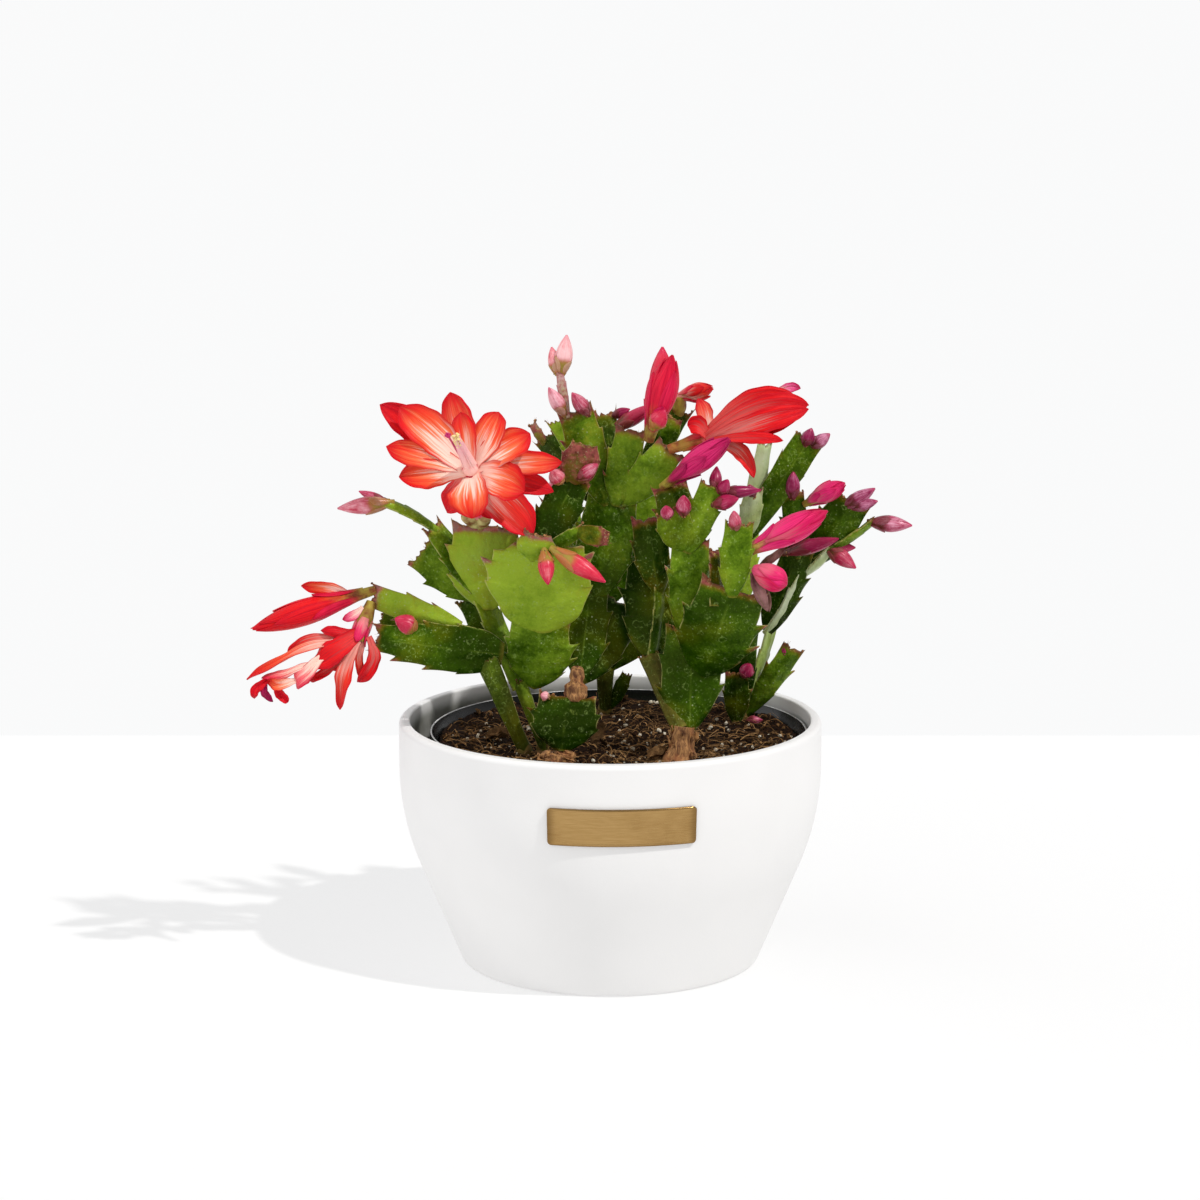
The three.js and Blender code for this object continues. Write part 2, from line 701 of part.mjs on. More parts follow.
// A bloom about a line. Each layer is a ring of petals:
// [number of petals, start, end, width, belly, tip distance, turn], in shares of length and thickness.
// Each single petal is [root, belly, tip, width, the way that it faces]. The stamens are one column,
// [base, tip, thickness].
function bloom({ base, tip, thick, layers = [], petals = [], stamens, body = CLOSED_PROFILE }) {
  const start = new THREE.Vector3(...base);
  const end = new THREE.Vector3(...tip);
  const { along, face, side, length } = bladeFrame(start, end, 0);
  const pieces = [spindle(base, tip, thick, body, 6)];
  if (stamens) pieces.push(cork(stamens));
  for (const [count, from, to, width, belly, spread, turn] of layers) {
    for (let i = 0; i < count; i += 1) {
      const angle = ((i + turn) * 2 * Math.PI) / count;
      const out = side.clone().multiplyScalar(Math.cos(angle)).addScaledVector(face, Math.sin(angle));
      const place = (share, distance) =>
        start
          .clone()
          .addScaledVector(along, share * length)
          .addScaledVector(out, (distance * thick) / 2);
      const middle = (from + to) / 2;
      pieces.push(
        petal(
          place(from, 0.4),
          place(middle, belly),
          place(to, spread),
          width * thick,
          out.clone().negate(),
          SHORT_PETAL_OUTLINE,
        ),
      );
    }
  }
  for (const [root, bellyPoint, tipPoint, width, toward] of petals) {
    pieces.push(
      petal(
        new THREE.Vector3(...root),
        new THREE.Vector3(...bellyPoint),
        new THREE.Vector3(...tipPoint),
        width,
        new THREE.Vector3(...toward),
      ),
    );
  }
  return joined(pieces);
}

const CLOSED_LAYERS = [
  [2, 0.4, 1, 0.7, 1.3, 0.3, 0.25],
  [3, 0.14, 0.66, 0.62, 1.1, 1.15, 0.3],
];
const BUD_LAYERS = [[3, 0.14, 0.7, 0.7, 1.15, 1.05, 0.25]];

// The open bloom: its throat, the way that it faces and the tip and width of each petal
const THROAT = [-54, -41, 206];
const THROAT_INSIDE = [-53.6, -39, 203.5];
const OPEN_FACE = [-9, -28, 14];
const OPEN_TIPS = [
  [[-86, -36, 228], 12],
  [[-85, -41, 214], 10],
  [[-81, -43, 203], 10],
  [[-57, -37, 229], 10],
  [[-42, -34, 226], 12],
  [[-33, -38, 216], 12],
  [[-34, -46, 197], 12],
  [[-54, -49, 187], 14],
  [[-42, -47, 188], 11],
];
const OPEN_BACK_TIPS = [
  [[-62, -28, 232], 11],
  [[-19, -35, 206], 8],
  [[-22, -37, 195], 9],
  [[-31, -43, 180], 14],
  [[-69, -30, 191], 10],
];
const STAMENS = [[-54, -40, 205], [-63, -68, 222], 3.4];

// How far the middle of a petal bows away from the line between throat and tip
const FRONT_BOW = [0, -5, 1];
const BACK_BOW = [0, 2, 0];

function openPetals() {
  const from = (tips, bow) =>
    tips.map(([tip, width]) => {
      const belly = tip.map((value, axis) => (THROAT[axis] + value) / 2 + bow[axis]);
      return [THROAT_INSIDE, belly, tip, width, OPEN_FACE];
    });
  return [...from(OPEN_TIPS, FRONT_BOW), ...from(OPEN_BACK_TIPS, BACK_BOW)];
}

const BLOOMS = {
  bloom_closed_left: {
    look: 'red',
    base: [-96.7, -24.4, 153.4],
    tip: [-140, -30, 140],
    thick: 11,
    layers: CLOSED_LAYERS,
    petals: [[[-104, -24, 151], [-112, -26, 156], [-121, -27, 155], 5, [0, -1, 0]]],
  },
  bloom_upright: {
    look: 'red',
    base: [14.7, -23, 216.3],
    tip: [23, -31, 249],
    thick: 12,
    layers: CLOSED_LAYERS,
    petals: [[[15, -21, 228], [11, -18, 238], [18, -20, 252], 8, [0, -1, 0]]],
  },
  bloom_side: {
    look: 'red',
    base: [29, 1.6, 224.4],
    tip: [42, -6, 233],
    thick: 8.5,
    layers: BUD_LAYERS,
  },
  bloom_magenta: {
    look: 'pink',
    base: [22.4, -28.3, 197.7],
    tip: [44, -53, 217],
    thick: 12,
    layers: CLOSED_LAYERS,
  },
  bloom_pink_right: {
    look: 'pink',
    base: [54.3, -43.4, 173.9],
    tip: [82, -47, 189],
    thick: 12,
    layers: CLOSED_LAYERS,
  },
  bloom_blunt_right: {
    look: 'pink',
    base: [54.2, -44.9, 164.4],
    tip: [69, -49, 159],
    thick: 11,
    layers: BUD_LAYERS,
    petals: [[[59, -43, 163], [62, -40, 158], [61, -39, 149], 6, [0, -1, 0]]],
  },
  bloom_pink_back: {
    look: 'pink',
    base: [79, 8.8, 184.1],
    tip: [93, 3, 193],
    thick: 9,
    layers: BUD_LAYERS,
  },
  bloom_half_open: {
    look: 'red',
    base: [24.9, -25.7, 211.8],
    tip: [75, -31, 229],
    thick: 15,
    layers: [[4, 0.3, 1, 0.66, 1.3, 0.5, 0.1]],
    petals: [
      [[36, -27, 215], [46, -27, 229], [61, -29, 237], 9, [1, -1, -3]],
      [[34, -27, 214], [39, -23, 221], [34, -21, 230], 9, [1, -1, 0]],
      [[34, -27, 214], [34, -24, 220], [29, -27, 221], 8, [1, -1, 0]],
      [[38, -27, 215], [52, -31, 214], [66, -32, 215], 7, [0, -1, 1]],
      [[38, -27, 215], [52, -32, 212], [56, -36, 201], 10, [1, -1, 1]],
    ],
  },
  bloom_open: {
    look: 'red',
    base: [-50.9, -21.2, 180.5],
    tip: [-54, -41, 206],
    thick: 9,
    body: TUBE_PROFILE,
    petals: openPetals(),
    stamens: STAMENS,
  },
  bloom_wilted: {
    look: 'red',
    base: [-94.7, -25.6, 147.7],
    tip: [-99, -31.5, 136],
    thick: 7,
    body: TUBE_PROFILE,
    petals: [
      [[-98, -31, 138], [-120, -33, 137], [-142, -34, 121], 7, [0, -1, 1]],
      [[-98, -31, 138], [-122, -34, 128], [-141, -33, 113], 5, [0, -1, 1]],
      [[-98, -31, 138], [-118, -38, 134], [-127, -39, 113], 9, [0, -1, 1]],
      [[-98, -31, 138], [-110, -42, 134], [-106, -40, 109], 8, [0, -1, 0]],
      [[-99, -31, 138], [-99, -32, 128], [-98, -30, 117], 10, [0, -1, 0]],
      [[-98, -31, 138], [-110, -29, 137], [-122, -30, 133], 7, [0, -1, 1]],
      [[-98, -32, 138], [-108, -39, 130], [-118, -41, 122], 11, [0, -1, 0]],
    ],
  },
};

function makeBlooms() {
  for (const [name, form] of Object.entries(BLOOMS)) {
    addMesh(name, geometryFrom(bloom(form)), form.look);
  }
}

// A dropped bud that lies on the soil
const FALLEN_X = 60;
const FALLEN_Y = 27;
const FALLEN_LENGTH = 6;
const FALLEN_THICKNESS = 3.2;
const FALLEN_LIFT = 1.3;

function makeFallenBud() {
  const height = soilHeight(FALLEN_X - NURSERY_X, FALLEN_Y) + FALLEN_LIFT;
  const half = FALLEN_LENGTH / 2;
  const body = bud([
    [FALLEN_X - half, FALLEN_Y, height],
    [FALLEN_X + half, FALLEN_Y, height],
    FALLEN_THICKNESS,
  ]);
  addMesh('fallen_bud', geometryFrom(body), 'pink');
}

const ROOTS = [...Object.values(STEMS), ...Object.values(STOCKS)]
  .map(({ root }) => root)
  .filter(Boolean);

makePlanter();
makePlate();
makeNurseryPot();
makeSoil(ROOTS);
makeStocks();
makeStems();
makeBlooms();
makeFallenBud();

export default cactus;
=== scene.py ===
"""The looks of a potted christmas cactus in bloom: toothed leafy stems, buds and blooms, peat soil,
a nursery pot and a matte white planter with a bare brass plate. Shapes are worked out in
millimetres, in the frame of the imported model, and stored in metres."""

import bpy
import numpy as np
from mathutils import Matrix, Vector, noise
from numpy import arange, array, clip, concatenate, cos, cross, exp, hypot, linspace, pi, radians
from numpy import sin, sqrt, stack, tan, where, zeros


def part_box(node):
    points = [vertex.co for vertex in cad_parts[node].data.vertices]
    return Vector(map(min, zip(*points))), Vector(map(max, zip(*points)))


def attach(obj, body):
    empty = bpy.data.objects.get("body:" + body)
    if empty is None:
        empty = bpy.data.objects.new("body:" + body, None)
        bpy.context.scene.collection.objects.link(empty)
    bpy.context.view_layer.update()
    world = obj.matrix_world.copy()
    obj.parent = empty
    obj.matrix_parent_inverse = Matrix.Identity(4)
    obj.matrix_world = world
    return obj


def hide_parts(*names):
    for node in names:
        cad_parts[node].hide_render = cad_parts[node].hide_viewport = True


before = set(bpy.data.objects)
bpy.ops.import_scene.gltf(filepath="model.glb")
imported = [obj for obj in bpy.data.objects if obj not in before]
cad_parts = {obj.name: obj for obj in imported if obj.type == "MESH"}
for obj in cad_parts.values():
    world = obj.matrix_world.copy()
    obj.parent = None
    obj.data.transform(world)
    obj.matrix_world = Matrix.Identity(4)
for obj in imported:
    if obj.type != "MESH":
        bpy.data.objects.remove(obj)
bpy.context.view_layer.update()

MM = 0.001
BARE = (0, 0, 0)

# Roughly a quarter, a third and a sixth of a turn
QUARTER_TURN = 1.6
THIRD_TURN = 2.09
SIXTH_TURN = 1.05

# The photograph's camera, in millimetres and degrees
CAMERA_BACK = 1224.35
CAMERA_HEIGHT = 373.77
CAMERA_PITCH = 10.5346
CAMERA_X = -4.1
LENS_MM = 93.36
SENSOR_MM = 36.0

# The planter, the plate and the nursery pot, as in the solids
PLANTER_RADIUS = 85.0
PLANTER_HEIGHT = 98.3
PLANTER_WALL = 4.4
PLANTER_FLOOR = 6.0
SHOULDER_RADIUS = 104.0
SHOULDER_TOP = 80.0
TAPER = radians(22.6)
FOOT_WIDTH = 6.0
FOOT_RECESS = 1.2
PAD_RADIUS = 28.0
NOTCH_WIDTH = 9.0
NOTCH_HEIGHT = 0.6
PLATE_LOW = 66.9
PLATE_HIGH = 81.5
PLATE_THICKNESS = 1.0
PLATE_START = radians(-16.4)
PLATE_END = radians(22.3)
PLATE_CORNER = 1.5
NURSERY_X = 3.4
NURSERY_RIM = 76.0
NURSERY_TOP = 93.4
NURSERY_RIM_DEPTH = 5.0
NURSERY_WALL = 1.4
NURSERY_STEP = 1.8
NURSERY_BASE = 50.0
GAP = 0.3

# The soil, which is heaped up more at the wall than the solid, how far that lifts the fallen bud, and
# where the stems' feet end in it
SOIL_TOP = 88.0
SOIL_LUMP = 0.9
SOIL_HEAP = 2.6
FALLEN_LIFT = 2.2
ROOT_BOTTOM = 76.4


# Colours, given as they look on a screen

def screen(red, green, blue, alpha=1.0):
    """A screen colour of 0 to 255 as the linear colour that a shader takes."""
    def linear(value):
        value /= 255
        return value / 12.92 if value <= 0.04045 else ((value + 0.055) / 1.055) ** 2.4
    return (linear(red), linear(green), linear(blue), alpha)


# Materials

class Field:
    """A value that varies over a surface: an output of a node, with arithmetic."""

    def __init__(self, look, socket):
        self.look = look
        self.socket = socket

    def __add__(self, other):
        return self.look.math("ADD", self, other)

    def __sub__(self, number):
        return self.look.math("ADD", self, -number)

    def __mul__(self, other):
        return self.look.math("MULTIPLY", self, other)

    def most(self, other):
        return self.look.math("MAXIMUM", self, other)

    def least(self, other):
        return self.look.math("MINIMUM", self, other)

    def size(self):
        return self.look.math("ABSOLUTE", self)

    def root(self):
        return self.look.math("SQRT", self)

    def clamped(self):
        self.socket.node.use_clamp = True
        return self

    def between(self, low, high, start=0.0, end=1.0):
        """A smooth step from start to end as the value goes from low to high."""
        ends = {"From Min": low, "From Max": high, "To Min": start, "To Max": end}
        return self.look.node("MapRange", "Result", {"Value": self, **ends}, interpolation_type="SMOOTHSTEP")

    def split(self):
        parts = self.look.node("SeparateXYZ", 0, {0: self})
        return [Field(self.look, out) for out in parts.socket.node.outputs]


class Look:
    """A node material while it is being made. Its colour is built up in coats."""

    def __init__(self, name, **sockets):
        self.material = bpy.data.materials.new(name)
        self.material.use_nodes = True
        self.tree = self.material.node_tree
        self.shader = self.tree.nodes["Principled BSDF"]
        for socket, value in sockets.items():
            self.shader.inputs[socket.replace("_", " ")].default_value = value

    def join(self, value, socket):
        if isinstance(value, Field):
            self.tree.links.new(value.socket, socket)
        else:
            socket.default_value = value

    def node(self, kind, output, inputs, **settings):
        """A new node with its settings made and its inputs joined, as one of its outputs."""
        node = self.tree.nodes.new("ShaderNode" + kind)
        for name, value in settings.items():
            setattr(node, name, value)
        for name, value in inputs.items():
            self.join(value, node.inputs[name])
        return Field(self, node.outputs[output])

    @property
    def place(self):
        return self.node("TexCoord", "Object", {})

    def stretched(self, scale):
        return self.node("Mapping", "Vector", {"Vector": self.place, "Scale": scale})

    def uv(self):
        return self.node("TexCoord", "UV", {}).split()[:2]

    def tint(self):
        return self.node("Attribute", "Color", {}, attribute_name="tint").split()

    def noise(self, scale, detail=3.0, rough=0.55, distortion=0.0, place=None):
        sockets = {"Scale": scale, "Detail": detail, "Roughness": rough, "Distortion": distortion}
        return self.node("TexNoise", "Fac", {"Vector": place or self.place, **sockets})

    def cells(self, scale):
        """The distance to the nearest of scattered points, and numbers drawn for that point."""
        distance = self.node("TexVoronoi", "Distance", {"Vector": self.place, "Scale": scale})
        return distance, Field(self, distance.socket.node.outputs["Color"]).split()

    def streaks(self, across, along, wide, long, detail=4.0, rough=0.6):
        """Noise drawn out along a petal, with as many waves across and along as wide and long say.
        The tint's alpha makes it differ from one petal to the next."""
        mark = self.node("Attribute", "Alpha", {}, attribute_name="tint")
        place = self.node("CombineXYZ", 0, {0: across * wide, 1: along * long, 2: mark * 3.7})
        return self.noise(1.0, detail, rough, place=place)

    def math(self, operation, first, second=0.0):
        return self.node("Math", 0, {0: first, 1: second}, operation=operation)

    def mix(self, share, first, second):
        """Two colours mixed. A screen colour of 0 to 255 is turned into a linear one."""
        inputs = {0: share}
        for socket, colour in ((6, first), (7, second)):
            inputs[socket] = screen(*colour) if isinstance(colour, tuple) else colour
        return self.node("Mix", 2, inputs, data_type="RGBA")

    def base(self, share, first, second):
        self.colour = self.mix(share, first, second)

    def coat(self, share, colour):
        """Covers the colour so far with another one, as far as share says."""
        self.colour = self.mix(share, self.colour, colour)

    def finish(self, roughness=None, relief=None, depth_mm=0.0, strength=1.0):
        """The material, with its colour, roughness and relief joined."""
        self.join(self.colour, self.shader.inputs["Base Color"])
        if roughness:
            self.join(roughness, self.shader.inputs["Roughness"])
        if relief:
            sockets = {"Distance": depth_mm * MM, "Strength": strength, "Height": relief}
            self.join(self.node("Bump", "Normal", sockets), self.shader.inputs["Normal"])
        return self.material


def leaf_look():
    """Waxy green skin. The tint's red is how pale a place is, and past 1 how grey with wax. Its
    green is how purple a place is, and its blue how corky."""
    look = Look("cactus_skin", Roughness=0.34, Specular_IOR_Level=0.24, Specular_Tint=(0.8, 1.0, 0.16, 1.0))
    across, along = look.uv()
    across = across.size()
    pale, blush, cork = look.tint()
    cloud, fine, grit = look.noise(75, 3, 0.6), look.noise(420, 4, 0.65), look.noise(1150, 3, 0.7)
    tone = (pale + (cloud - 0.5) * 0.7 + (fine - 0.5) * 0.4 + (grit - 0.5) * 0.3).clamped()
    dark = look.mix(tone, (14, 36, 0), (54, 94, 0))
    look.base(tone.between(0.2, 0.9), dark, look.mix(tone, (70, 114, 0), (142, 168, 46)))
    rib = across.between(0.07, 0.0) * cloud.between(0.4, 0.65, 0.0, 0.2)
    look.coat(rib, (140, 164, 60))
    wax = pale.between(1.0, 1.9) * cloud.between(0.2, 0.6, 0.6, 1.0)
    look.coat(wax, (190, 198, 168))
    olive = look.noise(38, 2).between(0.52, 0.72) * 0.3
    look.coat(olive, (112, 106, 4))
    stain = blush + (cloud - 0.5) * 0.8 + (fine - 0.5) * 0.7
    look.coat(stain.between(0.1, 0.6, 0.0, 0.35), (140, 92, 24))
    mauve = look.mix(pale.between(0.5, 1.7), (92, 26, 40), (192, 150, 154))
    look.coat(stain.between(0.42, 0.95, 0.0, 0.95), look.mix(fine.between(0.35, 0.65), mauve, (150, 70, 74)))
    # Painted rim highlight: a broken pale line along the edges.
    edge = across.between(0.96, 0.99) * fine.between(0.35, 0.6, 0.0, 0.65)
    look.coat(edge, (176, 170, 104))
    scar = along.between(0.972, 1.0) * fine.between(0.35, 0.55, 0.25, 0.9)
    look.coat(scar, (104, 62, 40))
    seam = along.between(0.05, 0.0, 0.0, 0.6)
    look.coat(seam, (112, 100, 34))
    distance, pick = look.cells(230)
    distance = distance + (fine - 0.5) * 0.85
    ring = (distance - 0.26).size().between(0.09, 0.0) * pick[1].between(0.45, 0.5, 0.0, 0.3)
    look.coat(ring * grit.between(0.35, 0.6), (150, 176, 96))
    distance, pick = look.cells(560)
    speck = distance.between(0.26, 0.1) * pick[0].between(0.64, 0.7, 0.0, 0.5)
    speck = speck * fine.between(0.42, 0.6, 0.1, 1.0)
    look.coat(speck * cloud.between(0.35, 0.6), (206, 216, 170))
    pit = grit.between(0.6, 0.68) * cloud.between(0.4, 0.6, 0.1, 0.45)
    look.coat(pit, (170, 192, 120))
    look.coat(cork * fine.between(0.25, 0.6, 0.5, 1.0), (128, 96, 58))
    relief = fine * 0.7 + look.noise(260, 2, 0.5) * 0.9 + (speck + ring) * 0.3
    return look.finish(cloud * 0.16 + (cork * 0.35 + 0.22), relief, 0.7, 0.75)


def flower_colour(look, hue, streak):
    """A petal's full colour, from scarlet through hot pink to a purple red."""
    scarlet = look.mix(streak, (190, 0, 24), (228, 20, 24))
    pink = look.mix(streak, (204, 6, 90), (238, 52, 124))
    wine = look.mix(streak, (120, 4, 52), (174, 24, 84))
    look.base(hue.between(0.05, 0.5), scarlet, pink)
    look.coat(hue.between(0.55, 1.0), wine)


def petal_look():
    """Petals. The tint's red runs from scarlet over pink to wine, green is how white the throat
    is, and blue how far the green or brown of the root reaches. Below 0, blue is how withered."""
    look = Look("petal", Roughness=0.4, Specular_IOR_Level=0.25, Specular_Tint=(1.0, 0.5, 0.5, 1.0))
    across, along = look.uv()
    stripes = look.streaks(across, along, 5.5, 0.9)
    lines = look.streaks(across, along, 17.0, 1.3, 3.0, 0.65)
    across = across.size()
    hue, pale, neck = look.tint()
    wide = look.noise(160)
    streak = (stripes * 0.55 + lines * 0.45).between(0.4, 0.6)
    flower_colour(look, hue, streak)
    heart = along + (stripes - 0.5) + (lines - 0.5) * 1.1 + across * across * 0.28
    warm = look.mix(lines.between(0.42, 0.62), (240, 70, 34), (252, 136, 84))
    orange = heart.between(1.15, 0.6) * pale.between(0.2, 1.0, 0.0, 0.95)
    look.coat(orange, look.mix(hue.between(0.0, 0.5), warm, (248, 116, 172)))
    throat = heart.between(0.7, 0.32) * pale.least(1.0)
    look.coat(throat, (255, 216, 200))
    edge = across.most(along * 0.96).between(0.74, 1.0, 0.0, 0.7)
    look.coat(edge, look.mix(hue, (196, 0, 24), (150, 6, 84)))
    root = (along + wide * 0.2).between(0.42, 0.14).most(neck.between(1.5, 2.2)) * neck.most(0.0).least(1.0)
    olive = look.mix(pale.between(0.5, 0.9), (168, 152, 60), (208, 200, 132))
    look.coat(root, look.mix(wide.between(0.35, 0.65), (116, 62, 34), olive))
    husk = look.mix(wide.between(0.35, 0.7), (92, 48, 60), (172, 122, 124))
    look.coat(neck.between(0.0, -1.0), look.mix(streak * 0.5, husk, (96, 92, 34)))
    return look.finish(stripes * 0.2 + 0.28, stripes + lines * 0.6, 0.5, 0.6)


def bud_look():
    """Buds: a smooth skin with painted pale highlights and a green or brown root."""
    look = Look("bud", Roughness=0.34, Specular_IOR_Level=0.35, Specular_Tint=(1.0, 0.7, 0.75, 1.0))
    across, along = look.uv()
    hue, pale, neck = look.tint()
    cloud = look.noise(240, 3, 0.6)
    fine = look.streaks(across, along, 6.0, 2.0, 3.0)
    red = look.mix(cloud, (210, 16, 52), (236, 66, 84))
    look.base(hue, red, look.mix(cloud, (96, 8, 44), (168, 30, 92)))
    # Painted highlight: pale pink patches from a tenth of the way along, more where the tint's green is
    # high.
    light = (fine * 0.5 + cloud * 0.5 + pale * 0.5).between(0.55, 1.0) * along.between(0.1, 0.4)
    look.coat(light, look.mix(hue, (255, 208, 200), (236, 170, 200)))
    look.coat(along.between(0.78, 1.0, 0.0, 0.4), (196, 16, 84))
    root = (along + cloud * 0.25).between(0.5, 0.2).most(neck.between(1.3, 2.3)) * neck.least(1.0)
    olive = look.mix(hue.between(0.4, 0.65), (166, 150, 56), (78, 28, 30))
    look.coat(root, look.mix(cloud * 0.6, olive, (120, 70, 40)))
    return look.finish(cloud * 0.15 + 0.22, cloud, 0.2, 0.3)


def bark_look():
    look = Look("bark", Roughness=0.85)
    fibre = look.noise(620, 5, 0.7, 0.6, look.stretched((1.0, 1.0, 0.22)))
    look.base(fibre.between(0.35, 0.65), (84, 46, 22), (190, 138, 84))
    look.coat(look.noise(150).between(0.5, 0.7, 0.0, 0.6), (146, 84, 44))
    return look.finish(None, fibre, 0.8, 0.8)


def soil_look():
    """Peat and bits. The tint's red makes a bit paler, and green turns it to white perlite."""
    look = Look("peat", Roughness=0.95, Specular_IOR_Level=0.1)
    light, white, _ = look.tint()
    crumb = look.noise(900, 5, 0.75)
    look.base(crumb.between(0.42, 0.68), (8, 4, 2), (78, 48, 26))
    look.coat(look.noise(120).between(0.4, 0.62, 0.0, 0.75), (24, 12, 5))
    look.coat(light * crumb.between(0.2, 0.6, 0.6, 1.0), (208, 160, 106))
    look.coat(white * crumb.between(0.25, 0.6, 0.7, 1.0), (244, 234, 210))
    return look.finish(None, crumb, 0.8, 0.9)


def planter_look():
    """Matte white, with painted shade: the inside of the wall below the rim is darkened to olive grey, most
    on the left.
    """
    look = Look("matte_white", Roughness=0.5, Specular_IOR_Level=0.35)
    grain = look.noise(1400)
    look.base(look.noise(22, 2).between(0.3, 0.7), (231, 230, 229), (234, 233, 232))
    east, north, height = look.place.split()
    out = (east * east + north * north).root()
    inner = PLANTER_RADIUS - PLANTER_WALL
    inside = out.between((inner + 0.8) * MM, (inner + 0.2) * MM)
    low = height.between((PLANTER_HEIGHT - 0.6) * MM, (PLANTER_HEIGHT - 7.0) * MM)
    above_shoulder = height.between((SHOULDER_TOP - 2) * MM, SHOULDER_TOP * MM)
    # Painted shade: the inside of the wall, from just below the rim down to the shoulder, darkened to olive
    # grey, more to the left.
    painted_inner_shade = inside * above_shoulder * low * east.between(0.07, -0.01, 0.3, 0.85)
    look.coat(painted_inner_shade * look.noise(90).between(0.25, 0.6, 0.8, 1.0), (92, 92, 78))
    return look.finish(grain * 0.12 + 0.42, grain + look.noise(130, 2) * 2.0, 0.12, 0.25)


def plate_look():
    look = Look("antique_brass", Metallic=1.0, Roughness=0.4)
    across, up = look.uv()
    brushed = look.noise(2600, 3, 0.6, 0.0, look.stretched((0.06, 0.06, 3.0)))
    patina = look.noise(55, 4, 0.6)
    look.base(brushed.between(0.25, 0.75), (164, 130, 78), (186, 152, 100))
    look.coat(patina.between(0.45, 0.8, 0.0, 0.45), (140, 104, 58))
    look.coat(across.most(up).between(0.86, 1.0, 0.0, 0.6), (96, 68, 36))
    return look.finish(brushed * 0.16 + patina * 0.3, brushed, 0.05, 0.3)


def nursery_look():
    """Black plastic with a painted highlight: a thin light line along the top of its rim."""
    look = Look("black_plastic", Roughness=0.3, Specular_IOR_Level=0.35)
    scuff = look.noise(240, 4, 0.7)
    look.base(scuff.between(0.55, 0.75, 0.0, 0.5), (9, 9, 9), (34, 33, 31))
    # Painted highlight: the top of the rim lightened to a thin pale line, broken by the scuffs.
    rim_highlight = look.place.split()[2].between((NURSERY_TOP - 0.28) * MM, (NURSERY_TOP - 0.08) * MM)
    look.coat(rim_highlight * scuff.between(0.3, 0.6, 0.5, 0.9), (206, 206, 204))
    return look.finish(scuff * 0.2 + 0.16, look.noise(700, 2), 0.15, 0.3)


def stamen_look():
    """Pale filaments. The tint's red turns them magenta, and green makes them cream."""
    look = Look("stamen", Roughness=0.5)
    magenta, cream, _ = look.tint()
    look.base(look.uv()[1].between(0.0, 0.9), (255, 214, 208), (252, 190, 196))
    look.coat(cream * look.noise(900, 2).between(0.2, 0.6, 0.7, 1.0), (250, 226, 150))
    look.coat(magenta, (190, 20, 96))
    return look.finish()


LEAF = leaf_look()
PETAL = petal_look()
BUD = bud_look()
BARK = bark_look()
SOIL = soil_look()
STAMEN = stamen_look()
PLANT_LOOKS = [LEAF, BUD, BARK]
LEAF_SLOT, BUD_SLOT, BARK_SLOT = range(3)


# Meshes

def unit(vector):
    return vector / np.linalg.norm(vector, axis=-1, keepdims=True)


def grid(*values):
    """Values of matching shapes, as the last axis of one array."""
    return stack(np.broadcast_arrays(*values), axis=-1)


def sweep(start, *ways):
    """The places reached from a start by going each amount along its direction."""
    for amount, way in ways:
        start = start + amount[..., None] * way
    return start


def round_angles(count):
    """Angles at even steps round a circle."""
    return arange(count) * 2 * pi / count


def level_way(angle):
    """The level direction at an angle from the right."""
    return array((cos(angle), sin(angle), 0))


def ring_faces(rings):
    """The numbers of the points in rings, and the faces from each ring to the next."""
    index = arange(rings.shape[0] * rings.shape[1]).reshape(rings.shape[:2])
    beside = np.roll(index, -1, axis=1)
    quads = stack([index[:-1], beside[:-1], beside[1:], index[1:]], axis=-1).reshape(-1, 4)
    return index.tolist(), quads


def strip_faces(ring):
    """Faces that close a blade's end, between its front points and its back points."""
    last = len(ring) // 2
    faces = [[ring[0], ring[1], ring[-1]], [ring[last - 1], ring[last], ring[last + 1]]]
    faces += [[ring[i], ring[i + 1], ring[-i - 1], ring[-i]] for i in range(1, last - 1)]
    return faces


def add_object(name, data):
    thing = bpy.data.objects.new(name, data)
    bpy.context.scene.collection.objects.link(thing)
    return thing


